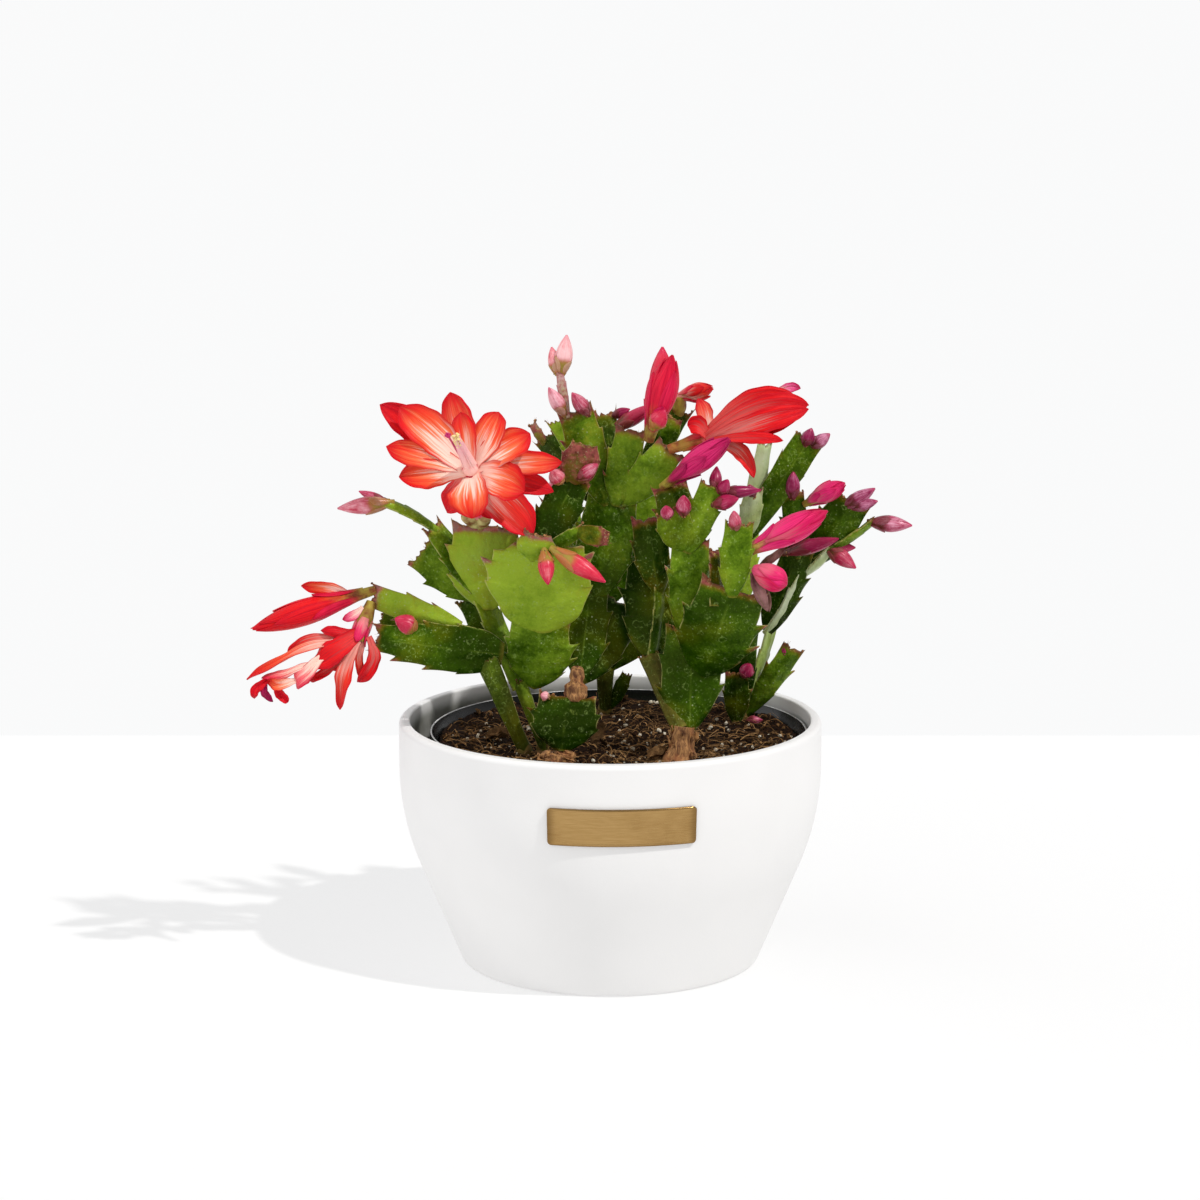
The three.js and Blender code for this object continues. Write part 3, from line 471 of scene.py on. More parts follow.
class Piece:
    """One object's geometry, gathered from closed skins."""

    def __init__(self):
        self.points, self.uvs, self.tints, self.marks = [], [], [], []
        self.faces, self.looks = [], []
        self.size = 0

    def skin(self, rings, uv, tint=BARE, look=0, ends="strip"):
        """A closed skin over rings, an array of rows, points and coordinates."""
        index, quads = ring_faces(rings)
        if ends == "strip":
            caps = [face[::-1] for face in strip_faces(index[0])] + strip_faces(index[-1])
        else:
            caps = [index[0][::-1], index[-1]]
        points = rings.reshape(-1, 3)
        a, b, c, d = (points[quads[:, i]] - points.mean(axis=0) for i in range(4))
        volume = np.einsum("ij,ij->", a, cross(b, c)) + np.einsum("ij,ij->", a, cross(c, d))
        faces = quads.tolist() + caps
        if volume < 0:
            faces = [face[::-1] for face in faces]
        self.gather(points, faces, np.broadcast_to(uv, (*rings.shape[:2], 2)), tint, look)

    def gather(self, points, faces, uv, tint, look):
        start = self.size
        self.points.append(points)
        self.uvs.append(uv.reshape(-1, 2))
        self.tints.append(np.broadcast_to(tint, (len(points), 3)))
        self.marks.append(np.full(len(points), len(self.points)))
        self.faces += [[i + start for i in face] for face in faces]
        self.looks += [look] * len(faces)
        self.size += len(points)

    def build(self, node, looks, sharp=60, own=False):
        """The finished object, which takes the place of a node of the solids unless it is own."""
        name = node if own else node + "_fine"
        mesh = bpy.data.meshes.new(name)
        mesh.from_pydata((concatenate(self.points) * MM).tolist(), [], self.faces)
        corners = np.empty(len(mesh.loops), dtype=np.int32)
        mesh.loops.foreach_get("vertex_index", corners)
        uv = concatenate(self.uvs)[corners].astype(np.float32)
        mesh.uv_layers.new(name="UVMap").data.foreach_set("uv", uv.ravel())
        tint = np.column_stack([concatenate(self.tints), concatenate(self.marks)]).astype(np.float32)
        mesh.attributes.new("tint", "FLOAT_COLOR", "POINT").data.foreach_set("color", tint.ravel())
        for look in looks:
            mesh.materials.append(look)
        mesh.polygons.foreach_set("material_index", array(self.looks, dtype=np.int32))
        mesh.polygons.foreach_set("use_smooth", np.ones(len(self.faces), dtype=bool))
        mesh.update()
        mesh.set_sharp_from_angle(angle=radians(sharp))
        thing = add_object(name, mesh)
        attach(thing, "root")
        if not own:
            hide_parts(node)


def line_through(knots, place):
    """A smooth line through knots of [place, value]."""
    x, y = array(knots, float).T
    slope = np.gradient(y, x)
    i = clip(np.searchsorted(x, place) - 1, 0, len(x) - 2)
    step = x[i + 1] - x[i]
    u = clip((place - x[i]) / step, 0, 1)
    rise = u * u * (3 - 2 * u)
    bend = step * (u * (1 - u) ** 2 * slope[i] - u * u * (1 - u) * slope[i + 1])
    return y[i] * (1 - rise) + y[i + 1] * rise + bend


def blade_frame(base, tip, turn=0.0):
    """Directions along a blade, out of its face and across it, and its length."""
    along = tip - base
    length = np.linalg.norm(along)
    along = along / length
    face = array((0.0, -1.0, 0.0))
    face = unit(face - face.dot(along) * along)
    angle = radians(turn)
    face = face * cos(angle) + cross(along, face) * sin(angle)
    return along, face, cross(face, along), length


def blade_ring(columns):
    """Places across a blade, all the way round it: -1 and 1 are its edges. Also which side each
    place is on: 1 for the front, -1 for the back and 0 at the edges."""
    spread = sin(linspace(-1, 1, columns) * pi / 2)
    spread = np.sign(spread) * abs(spread) ** 0.9
    across = concatenate([spread, spread[-2:0:-1]])
    front = concatenate([[0], np.ones(columns - 2), [0], -np.ones(columns - 2)])
    return across, front


# Leafy stems

# Each kind: its outline as [how far along, half width], and its teeth as [place, height]
SHAPES = {
    "broad": ([[0, 0.2], [0.12, 0.5], [0.38, 0.84], [0.7, 0.86], [0.92, 0.78], [1, 0.72]],
              [[0.2, 0.14], [0.42, 0.22], [0.7, 0.26]]),
    "small": ([[0, 0.25], [0.25, 0.7], [0.55, 0.86], [0.85, 0.8], [1, 0.72]],
              [[0.36, 0.18], [0.66, 0.26]]),
    "young": ([[0, 0.3], [0.25, 0.8], [0.6, 0.98], [0.85, 0.86], [1, 0.6]], [[0.7, 0.1]]),
    "narrow": ([[0, 0.5], [0.3, 0.84], [0.65, 0.9], [1, 0.72]], [[0.4, 0.12], [0.68, 0.18]]),
    "round": ([[0, 0.3], [0.1, 0.56], [0.36, 0.84], [0.6, 0.94], [0.8, 0.86], [0.92, 0.66], [1, 0.44]],
              [[0.5, 0.08], [0.76, 0.16], [0.93, 0.2]]),
    "blunt": ([[0, 0.45], [0.12, 0.8], [0.35, 0.92], [0.6, 0.86], [0.85, 0.62], [1, 0.42]],
              [[0.3, 0.12], [0.58, 0.16], [0.82, 0.14]]),
    "stem": ([[0, 0.6], [0.3, 0.66], [0.6, 0.84], [1, 1]], []),
    "woody": ([[0, 0.8], [0.5, 0.84], [1, 0.9]], []),
    "strap": ([[0, 0.5], [0.2, 0.74], [0.5, 0.84], [0.8, 0.88], [1, 0.8]], [[0.45, 0.05], [0.72, 0.08]]),
}
# Thickness in millimetres at the rib and at the edges
THICKNESS = {
    "broad": (2.9, 1.0),
    "small": (2.5, 1.0),
    "young": (2.2, 1.0),
    "round": (2.9, 1.0),
    "blunt": (2.9, 1.0),
    "narrow": (2.8, 1.0),
    "stem": (5.0, 2.2),
    "woody": (5.0, 2.8),
    "strap": (2.6, 1.0),
}
CORK_SHARE = {"stem": 0.12, "woody": 0.3}
# In millimetres: how deep a segment is set in the one below, how far it bows, the step between its
# rows, and how far a stain reaches down from its top
SEAT = 1.6
BOW = 1.4
ROW_STEP = 0.62
TOP_STAIN = 4.2
# As shares of a segment's length: where its horns, its ragged top and its thinner end start, how long
# a tooth's rise and its drop are, and how far the tooth leans ahead
HORN_START = 0.84
CUT_START = 0.93
TOP_ROUND = 0.96
TOOTH_RUN = 0.2
TOOTH_DROP = 0.035
TOOTH_LEAN = 0.075
LEAF_RING = blade_ring(21)


def edge_line(kind, along, rng):
    """Half width of one edge, and how much of it is tooth, as shares."""
    outline, teeth = SHAPES[kind]
    half = line_through(outline, along)
    for wave in (5, 9, 17):
        half = half * (1 + 0.05 / wave**0.5 * sin(wave * along + rng.uniform(0, 6)))
    tooth_share = np.zeros_like(along)
    for place, height in teeth:
        at = place + rng.uniform(-0.05, 0.05)
        rise = clip((along - at + TOOTH_RUN) / TOOTH_RUN, 0, 1) ** rng.uniform(2.2, 3.4)
        drop = clip(1 - (along - at) / TOOTH_DROP, 0, 1)
        tooth = where(along <= at, rise, drop) * rng.uniform(0.55, 1.3)
        half = half + tooth * height
        tooth_share = tooth_share + tooth
    return half, tooth_share


def leaf(piece, row, seed):
    """One flat segment with a rib, rounded edges, hooked teeth and a cut-off top."""
    base, tip, width, turn, kind, pale, blush = row[:7]
    crinkle = row[7] if len(row) > 7 else 0.0
    rng = np.random.default_rng(seed)
    base, tip = array(base, float), array(tip, float)
    along, face, side, length = blade_frame(base, tip, turn)
    rows = int(clip(length / ROW_STEP, 16, 64))
    t = linspace(0, 1, rows)[:, None]
    across, front = LEAF_RING
    left, left_tooth = edge_line(kind, t, rng)
    right, right_tooth = edge_line(kind, t, rng)
    tooth = where(across < 0, left_tooth, right_tooth)
    half = where(across < 0, left, right) * width / 2
    rim = abs(across)
    horn = clip((t - HORN_START) / (1 - HORN_START), 0, 1) ** 2.2 * (kind not in ("stem", "woody", "round"))
    horn = horn * where(across < 0, rng.uniform(0.5, 1.5), rng.uniform(0.5, 1.5))
    half = half + horn * 0.1 * width / 2
    ahead = tooth * TOOTH_LEAN * length * rim**4 + horn * rim**4 * 0.07 * length
    jag = sum(sin(across * rng.uniform(5, 18) + rng.uniform(0, 6)) for _ in range(4))
    ahead = ahead + clip((t - CUT_START) / (1 - CUT_START), 0, 1) * jag * 0.011 * min(length, 30)
    rib, edge = THICKNESS[kind]
    reach_mm = across * half
    lens = 0.55 * (1 - across**2) + 0.45 * exp(-((reach_mm / 1.6) ** 2))
    thick = (edge + (rib - edge) * lens) / 2 * sqrt(1 - clip(rim - 0.9, 0, 1) / 0.1 * 0.75)
    thick = thick * where(t > TOP_ROUND, 1 - (t - TOP_ROUND) / (1 - TOP_ROUND) * 0.45, 1)
    thick = thick * (1 + 0.25 * exp(-t * 14))
    phase = rng.uniform(0, 2 * pi, 5)
    size = min(1.0, width / 16)
    sway = rng.uniform(0.3, 0.7) + crinkle
    wave = sway * sin(t * (6 + 3 * crinkle) + phase[0] + across * 1.2) * rim**2
    wave = wave + 0.4 * sway * sin(t * 15 + phase[1] - across * 2.5) * rim
    wave = wave + 0.18 * sin(across * 5 + t * 9 + phase[4]) * sin(t * 21 - across * 3 + phase[2])
    wave = wave + crinkle * 0.4 * sin(across * 9 + phase[2]) * sin(t * 17 + phase[3])
    fold = where(across < 0, rng.uniform(-1.6, 0.8), rng.uniform(-1.6, 0.8)) * rim**1.6 * width / 26
    curl = -0.5 * tooth * rim**6
    depth = front * thick + (wave + curl) * size + fold + BOW * 4 * t * (1 - t)
    run = t * (length + SEAT) - SEAT + ahead
    rings = sweep(base, (run, along), (across * half, side), (depth, face))
    top_band = clip((run - length + TOP_STAIN) / 5.0, 0, 1) ** 1.7
    stain = top_band * blush * 1.5 + tooth**3 * rim**5 * (0.35 + blush) + horn * rim**3 * 0.5
    stain = stain + rim**8 * blush * 0.35 * clip(t * 2, 0, 1) + max(0.0, blush - 0.7) * 0.8
    shade = pale + 0.1 * (t - 0.5) + 0.08 * sin(t * 7 + across * 2 + phase[3])
    cork = np.full(t.shape, CORK_SHARE.get(kind, 0.0))
    tint = grid(shade, stain, cork).reshape(-1, 3)
    piece.skin(rings, grid(across, t), tint, LEAF_SLOT)
    tuft(piece, rings[-1][: len(across) // 2 + 1], along, face, rng)


def tuft(piece, top, along, face, rng):
    """Small brown scales and bristles along a segment's cut-off top."""
    for _ in range(rng.integers(3, 7)):
        at = top[rng.integers(2, len(top) - 2)] - face * rng.uniform(0.3, 0.8)
        nub(piece, at, rng.uniform(0.35, 0.8), rng, BARK_SLOT)
    for _ in range(rng.integers(2, 5)):
        start = top[rng.integers(1, len(top) - 1)]
        way = unit(along + rng.normal(size=3) * 0.45)
        thread(piece, [start - along * 0.3, start + way * rng.uniform(0.8, 1.9)], 0.07, BARK_SLOT)


NUB_RINGS = 5
NUB_SIDES = 7


def nub(piece, at, radius, rng, look, tint=BARE):
    """A small uneven lump."""
    t = linspace(0.06, 0.94, NUB_RINGS)[:, None] * pi
    turn = round_angles(NUB_SIDES)
    ball = grid(sin(t) * cos(turn), sin(t) * sin(turn), cos(t))
    axes = np.linalg.qr(rng.normal(size=(3, 3)))[0] * rng.uniform(0.55, 1.15, 3)[:, None]
    lumps = 1 + rng.uniform(-0.22, 0.22, (NUB_RINGS, NUB_SIDES, 1))
    rings = at + radius * lumps * ball @ axes
    piece.skin(rings, zeros((NUB_RINGS, NUB_SIDES, 2)), tint, look, "ring")


def thread(piece, path, radius, look, tint=BARE, sides=5, taper=0.5):
    """A thin round strand along a path of points."""
    path = array(path, float)
    way = unit(np.gradient(path, axis=0))
    helper = array((0.31, 0.52, 0.79))
    out = unit(cross(way, helper))
    up = cross(way, out)
    turn = round_angles(sides)
    share = linspace(0, 1, len(path))[:, None]
    thin = (radius * (1 - share * (1 - taper)))[..., None]
    rings = path[:, None] + thin * (cos(turn)[:, None] * out[:, None] + sin(turn)[:, None] * up[:, None])
    piece.skin(rings, grid(turn / pi - 1, share), tint, look, "ring")


def spindle(piece, base, tip, thick, profile, tint, look, sides=20, rows=18, ridges=0.0, seed=0, reach=1.0):
    """A round body about a line, from a profile of [how far along, share of half the thickness]."""
    base, tip = array(base, float), array(tip, float)
    along, face, side, length = blade_frame(base, tip)
    t = linspace(profile[0][0], profile[-1][0], rows)[:, None]
    turn = round_angles(sides)
    radius = line_through(profile, t) * thick / 2
    if ridges:
        rng = np.random.default_rng(seed)
        wave = sum(sin(turn * n + rng.uniform(0, 6) + t * rng.uniform(-3, 3)) / n**0.5
                   for n in (3, 5, 8, 13))
        knots = sin(t * 23 + cos(turn * 2 + rng.uniform(0, 6)) * 2)
        radius = radius * (1 + ridges * wave / 2 + ridges * knots / 3)
    radius = np.broadcast_to(radius, (rows, sides))
    rings = sweep(base, (t * length, along), (radius * cos(turn), side), (radius * sin(turn), face))
    mirror = abs(turn / pi - 1) * 2 - 1
    piece.skin(rings, grid(mirror, clip(t, 0, 1) * reach), tint, look, "ring")


def shell(piece, body, span, middle, half_angle, lift, flare, tint, look, rows=18, columns=13, thick=0.3):
    """A petal or scale that wraps a spindle: body is (base, tip, thickness, profile), span how far
    along it starts and ends, and its tip stands out by flare."""
    base, tip, body_thick, profile = body
    base, tip = array(base, float), array(tip, float)
    along, face, side, length = blade_frame(base, tip)
    across, front = blade_ring(columns)
    t = linspace(0, 1, rows)[:, None]
    place = span[0] + (span[1] - span[0]) * t
    width = line_through(WRAP_LINE, t)
    angle = middle + across * half_angle * width
    radius = line_through(profile, place) * body_thick / 2 + lift * clip(t * 3, 0.2, 1) + flare * t**3
    radius = radius + front * thick / 2 - 0.6 * lift * abs(across) ** 3 + 0.25 * lift * exp(-across**2 * 30)
    rings = sweep(base, (place * length, along), (radius * cos(angle), side), (radius * sin(angle), face))
    piece.skin(rings, grid(across, t), tint, look)


def flake(piece, at, way, out, length, width, rng, look, tint=BARE):
    """A small curled chip: it runs along way from at, and its face looks out."""
    way = unit(array(way, float))
    out = unit(array(out, float) - np.dot(out, way) * way)
    side = cross(out, way)
    across, front = blade_ring(6)
    t = linspace(0, 1, 8)[:, None]
    phase = rng.uniform(0, 6, 3)
    half = width / 2 * (0.45 + 0.55 * sin(t * 2.8 + 0.25)) * (1 + 0.2 * sin(t * 11 + phase[0]))
    curl = rng.uniform(-0.5, 0.7) * width * across**2 + rng.uniform(-0.35, 0.35) * length * t**2
    curl = curl + 0.12 * width * sin(across * 3 + t * 6 + phase[1]) + front * 0.16
    ragged = 0.06 * length * sin(across * 5 + phase[2]) * abs(2 * t - 1)
    rings = sweep(array(at, float), (t * length + ragged, way), (across * half, side), (curl, out))
    piece.skin(rings, grid(across, t), tint, look)


WRAP_LINE = [[0, 0.62], [0.3, 0.95], [0.55, 1.0], [0.8, 0.72], [0.95, 0.3], [1, 0.05]]
BUD_LINE = [[-0.12, 0.34], [0, 0.44], [0.15, 0.7], [0.35, 0.95], [0.56, 0.9], [0.78, 0.58], [0.93, 0.24],
            [1, 0.05]]
CORK_LINE = [[-0.1, 0.9], [0.1, 1.14], [0.42, 1.1], [0.54, 0.74], [0.6, 0.68], [0.72, 0.76], [0.9, 0.7],
             [1, 0.5]]


def bud(piece, row, seed, look=BUD_SLOT):
    """A pointed bud with petals that close over it and scales and a scaly collar at its root."""
    base, tip, thick, hue, pale = row
    rng = np.random.default_rng(seed)
    tint = (hue, pale, 1.0)
    body = (base, tip, thick * 0.96, BUD_LINE)
    spindle(piece, base, tip, thick * 0.96, BUD_LINE, tint, look, sides=18, rows=16)
    start = rng.uniform(0, 2 * pi)
    for i in range(3):
        shell(piece, body, (0.16, 1.0), start + i * THIRD_TURN, 1.0, 0.1, 0.0, tint, look, 14, 9, 0.2)
    for i in range(3):
        shell(piece, body, (-0.06, rng.uniform(0.34, 0.5)), start + 1 + i * THIRD_TURN, 0.85, 0.26, 0.12,
              (hue, pale, 1.9), look, 9, 9, 0.26)
    if look != BUD_SLOT:
        return
    along, face, side, _ = blade_frame(array(base, float), array(tip, float))
    for i in range(6):
        turn = i * SIXTH_TURN + rng.uniform(-0.3, 0.3)
        ring = side * cos(turn) + face * sin(turn)
        at = base + ring * thick * 0.2 - along * rng.uniform(0.0, 0.5)
        nub(piece, at, rng.uniform(0.35, 0.6), rng, BARK_SLOT)


def cork(piece, row, seed):
    """A corky joint, thick at its foot and narrower above."""
    base, tip, thick = row
    spindle(piece, base, tip, thick, CORK_LINE, (0, 0, 1), BARK_SLOT, 44, 30, 0.17, seed)


def root_stub(piece, root, look, cork_share):
    """The foot of a stem, which flares a little where it enters the soil."""
    x, y, radius, top = root
    profile = [[0, 0.75], [0.5, 0.8], [0.75, 0.82], [0.9, 0.72], [1, 0.55]]
    spindle(piece, (x, y, ROOT_BOTTOM), (x, y, top + 1.5), 2 * radius, profile, (0.2, 0.2, cork_share), look,
            32, 20, 0.05, int(abs(x) * 7 + y))


# Where a stem enters the soil: (x, y, radius, top). Segments: [base, tip, width, turn, kind, how pale,
# how purple, how crinkled]; how pale is partly the segment's own tone and partly painted light and
# shade. Corks: [base, tip, thickness]. Buds: [base, tip, thickness, from red to magenta, how pale],
# where how pale sets their painted highlights.
ROOTS = {
    "stem_left": (-34, -22, 4.2, 91),
    "stem_front": (-27, -14, 3.2, 91),
    "sprout_right": (52, 27, 2.4, 91),
    "stem_right_back": (54, 38, 4, 92),
    "stem_back": (-2, 52, 4, 91),
}
SEGMENTS = {
    "stem_left": [
        [[-34, -22, 90], [-49, -24, 127], 9, 0, "stem", 0.26, 0],
        [[-44, -23, 129], [-91, -32, 137], 20, 0, "blunt", 0.24, 0.5],
        [[-60, -25, 141], [-93, -24, 152], 12, 0, "small", 0.95, 0.95],
        [[-68, -22, 138], [-90, -20, 143], 9, 0, "young", 0.5, 0.3],
    ],
    "stem_front": [
        [[-27, -14, 90], [-36, -18, 117], 6, 0, "stem", 0.5, 0.1],
        [[-30, -19, 116], [-27, -27, 142], 28, 0, "broad", 0.5, 0.1],
        [[-27, -27, 140], [-28, -36, 175], 42, 0, "round", 0.92, 0.7],
        [[-30, -36, 170], [-28, -41, 179], 15, 0, "young", 0.85, 0.85],
        [[-37, -17, 115], [-52, -13, 152], 12, 52, "narrow", 0.6, 0.15],
        [[-53, -12, 150], [-75, -8, 167], 18, 0, "small", 0.5, 0.4],
        [[-53, -15, 151], [-70, -15, 178], 12, 40, "small", 0.5, 0.7],
        [[-49, -16, 147], [-49, -20, 179], 32, 0, "broad", 1, 0.95],
        [[-43, -13, 128], [-56, -6, 148], 14, 0, "small", 0.2, 0.1],
        [[-69, -15, 177], [-88, -17, 188], 6, 60, "narrow", 0.6, 0.1],
        [[-27, -35, 173], [-14, -27, 199], 17, 0, "broad", 0.1, 0.5],
        [[-14, -28, 198], [-10, -34, 213], 15, 0, "young", 0.4, 1.55, 0.6],
        [[-24, -36, 174], [-11, -38, 181], 6, 20, "young", 0.5, 0.5],
        [[-12, -38, 180], [-1, -42, 178], 8, 0, "young", 0.45, 1.2],
    ],
    "stem_centre": [
        [[-19, -35, 94], [-17, -30, 113], 28, 0, "broad", 0.03, 0.35],
        [[-12, -22, 120], [-8, -12, 152], 19, 0, "broad", 0.14, 0.1],
        [[-11, -22, 119], [5, -4, 145], 21, 0, "broad", 0.1, 0.1],
        [[-6, -12, 150], [1, -12, 189], 25, 0, "broad", 0.38, 0.15],
        [[-2, -12, 188], [-14, -16, 224], 17, 0, "broad", 0.5, 0.95],
        [[2, -13, 188], [8, -20, 217], 15, 0, "small", 0.6, 0.85],
        [[6, -13, 188], [23, -24, 210], 16, 0, "small", 0.7, 0.7],
        [[-17, -16, 223], [-20, -15, 240], 4, 0, "narrow", 1.6, 1.7],
        [[-3, -11, 188], [-21, 0, 218], 10, 20, "narrow", 0.75, 0.2],
        [[-4, -11, 186], [-26, 8, 210], 11, 0, "small", 0.1, 0.3],
        [[-26, 8, 208], [-31, 7, 216], 4, 0, "narrow", 0.8, 1.5],
        [[5, -12, 186], [28, 2, 222], 11, 0, "small", 0.15, 0.4],
        [[19, -6, 207], [25, -9, 220], 9, 0, "young", 0.45, 0.6, 0.4],
        [[2, -11, 187], [-2, 6, 220], 11, 0, "small", 0.2, 0.7],
    ],
    "stem_right": [
        [[31, -33, 102], [32, -26, 139], 26, 0, "broad", 0.22, 0.15],
        [[27, -32, 102], [15, -20, 128], 9, 0, "woody", 0.12, 0.3],
        [[16, -20, 127], [19, -18, 154], 7, 50, "narrow", 0.3, 0.1],
        [[19, -18, 153], [14, -21, 182], 15, 0, "broad", 0.16, 0.85],
        [[16, -19, 127], [17, -2, 163], 25, 0, "broad", 0.1, 0.1],
        [[30, -27, 138], [31, -36, 176], 18, 0, "broad", 0.52, 0.7, 1.3],
        [[29, -36, 174], [22, -40, 188], 14, 0, "young", 0.5, 0.6],
        [[30, -36, 173], [39, -40, 198], 13, 0, "small", 0.55, 0.4],
        [[30, -34, 172], [23, -26, 196], 17, 0, "small", 0.12, 0.8],
        [[36, -30, 122], [47, -44, 158], 32, 0, "broad", 0.32, 0.6],
        [[47, -44, 157], [49, -46, 184], 14, 0, "small", 0.55, 0.2],
        [[40, -42, 153], [40, -36, 172], 7, 40, "narrow", 0.15, 1],
    ],
    "sprout_right": [
        [[52, 27, 91], [52, 24, 111], 12, 0, "small", 0.1, 0.6],
    ],
    "stem_right_back": [
        [[54, 38, 91], [66, 30, 129], 8, 50, "narrow", 1.3, 0.1],
        [[65, 30, 128], [79, 20, 155], 9, 50, "narrow", 1.7, 0.1],
        [[79, 20, 154], [89, 15, 165], 6, 50, "narrow", 1.6, 0.1],
        [[57, 38, 92], [75, 30, 120], 12, 20, "small", 0.5, 0.6],
        [[84, 17, 161], [106, 10, 177], 6, 50, "narrow", 0.5, 0.5],
        [[81, 19, 158], [97, 10, 184], 19, 0, "broad", 0.25, 0.35],
        [[65, 30, 128], [76, 16, 163], 16, 0, "broad", 0.12, 0.2],
        [[76, 16, 162], [73, 9, 187], 12, 0, "small", 0.2, 0.5],
        [[55, 37, 95], [53, 16, 142], 14, 0, "small", 0.25, 0.1],
        [[53, 17, 140], [55, 9, 174], 12, 0, "small", 0.9, 0.1],
        [[54, 10, 171], [79, 9, 209], 14, 0, "strap", 0.36, 0.15],
        [[54, 10, 173], [62, 13, 207], 8, 20, "narrow", 1.6, 0.1],
        [[54, 9, 171], [57, 0, 190], 10, 20, "narrow", 1.5, 0.2],
    ],
    "stem_back": [
        [[-2, 52, 90], [-2, 46, 110], 8, 0, "stem", 0.1, 0],
        [[1, 51, 92], [7, 50, 105], 6, 0, "young", 0.15, 0.1],
        [[-2, 46, 109], [-8, 36, 140], 25, 0, "broad", 0.2, 0.1],
        [[-7, 36, 138], [-16, 32, 165], 22, 0, "broad", 0.4, 0.3],
        [[-6, 36, 138], [9, 36, 166], 22, 0, "broad", 0.35, 0.2],
        [[-4, 46, 110], [-30, 48, 140], 20, 0, "small", 0.4, 0.4],
        [[0, 46, 110], [26, 48, 142], 20, 0, "small", 0.35, 0.4],
        [[8, 36, 164], [22, 40, 186], 16, 0, "small", 0.55, 0.6],
        [[-15, 32, 163], [-22, 40, 182], 16, 0, "small", 0.55, 0.5],
    ],
}
CORKS = {
    "stem_centre": [[[-14, -29, 111.5], [-13, -23, 123.5], 7.5]],
}
BUDS = {
    "stem_left": [
        [[-76, -29, 140], [-84, -33, 145], 8, 0.45, 0.15],
    ],
    "stem_front": [
        [[-25.5, -41, 172.5], [-24, -48, 161], 6.6, 0.25, 0.12],
        [[-21, -42, 173], [-2, -48, 162], 7.6, 0.15, 0.12],
        [[-87, -17, 188], [-107, -19, 186], 7, 0.45, 0.45],
        [[-88, -16, 188], [-99, -13, 192], 4, 0.7, 0.2],
        [[-19, -28, 198], [-23, -32, 203], 7, 0.4, 0.35],
        [[-12, -31, 200], [-5, -36, 206], 5.4, 0.62, 0.35],
        [[-41, -20, 178], [-40, -22, 184], 4, 0.5, 0.3],
    ],
    "stem_centre": [
        [[-19, -15, 239], [-17, -17, 254], 7, 0.25, 0.8],
        [[-21, -15, 239], [-23, -14, 249], 5, 0.25, 0.6],
        [[-18, -17, 223], [-24, -21, 234], 6, 0.5, 0.65],
        [[-9, -16, 223], [-15, -21, 232], 6, 0.65, 0.4],
        [[1, 5, 219.6], [7.8, 3, 222.5], 4, 0.9, 0.1],
        [[1.5, 3.8, 214.5], [19, -2, 225.5], 6.2, 0.6, 0.1],
        [[-24.5, -31, 113.2], [-27.2, -33, 114.6], 3.6, 0.4, 0.6],
    ],
    "stem_right": [
        [[28, -40, 187], [28, -44, 195], 6, 0.75, 0.3],
        [[22, -41, 186], [21, -45, 191], 5, 0.75, 0.25],
        [[48, -46, 182], [47, -50, 190], 5, 0.6, 0.35],
        [[40, -39, 196], [41, -35, 205], 5, 0.9, 0.15],
        [[42, -40, 195], [45, -43, 201], 5, 0.9, 0.1],
        [[40, -41, 191], [49, -45, 194], 6, 0.8, 0],
        [[42, -39, 195], [58, -36, 196], 5, 1, 0],
    ],
    "sprout_right": [
        [[55, 24, 110], [57, 19, 116], 6, 0.85, 0.1],
    ],
    "stem_right_back": [
        [[72, 31, 117], [71, 29, 122], 3, 0.9, 0.1],
        [[72, 14, 163], [91, 0, 171], 6.2, 0.85, 0.05],
        [[105, 10, 176], [121, 7, 175], 7, 0.8, 0.4],
        [[94, 11, 182], [106, 8, 190], 6, 1, 0.35],
        [[97, 10, 182], [107, 7, 185], 5, 1, 0.35],
        [[88, 15, 165], [99, 11, 157], 7, 0.6, 0.2],
        [[88, 15, 165], [99, 14, 165], 5, 0.8, 0.1],
        [[77.8, 8, 207.6], [80.2, 7, 214.4], 5.4, 1.1, 0.2],
        [[81, 8.6, 206.8], [87.5, 7, 212.2], 5.4, 1, 0.4],
        [[73, 9, 186], [73, 6, 197], 6, 1.1, 0.2],
        [[57, 0, 188], [55, -2, 193], 4, 1.2, 0.05],
    ],
    "stem_back": [
        [[-22, 40, 180], [-24, 43, 189], 5, 0.6, 0.4],
    ],
}


def make_stems():
    for number, (node, segments) in enumerate(SEGMENTS.items()):
        piece = Piece()
        if node in ROOTS:
            root_stub(piece, ROOTS[node], LEAF_SLOT, 0.6)
        for i, row in enumerate(segments):
            leaf(piece, row, 100 * number + i)
        for i, row in enumerate(CORKS.get(node, [])):
            cork(piece, row, i)
        for i, row in enumerate(BUDS[node]):
            bud(piece, row, 1000 + 100 * number + i)
        piece.build(node, PLANT_LOOKS)


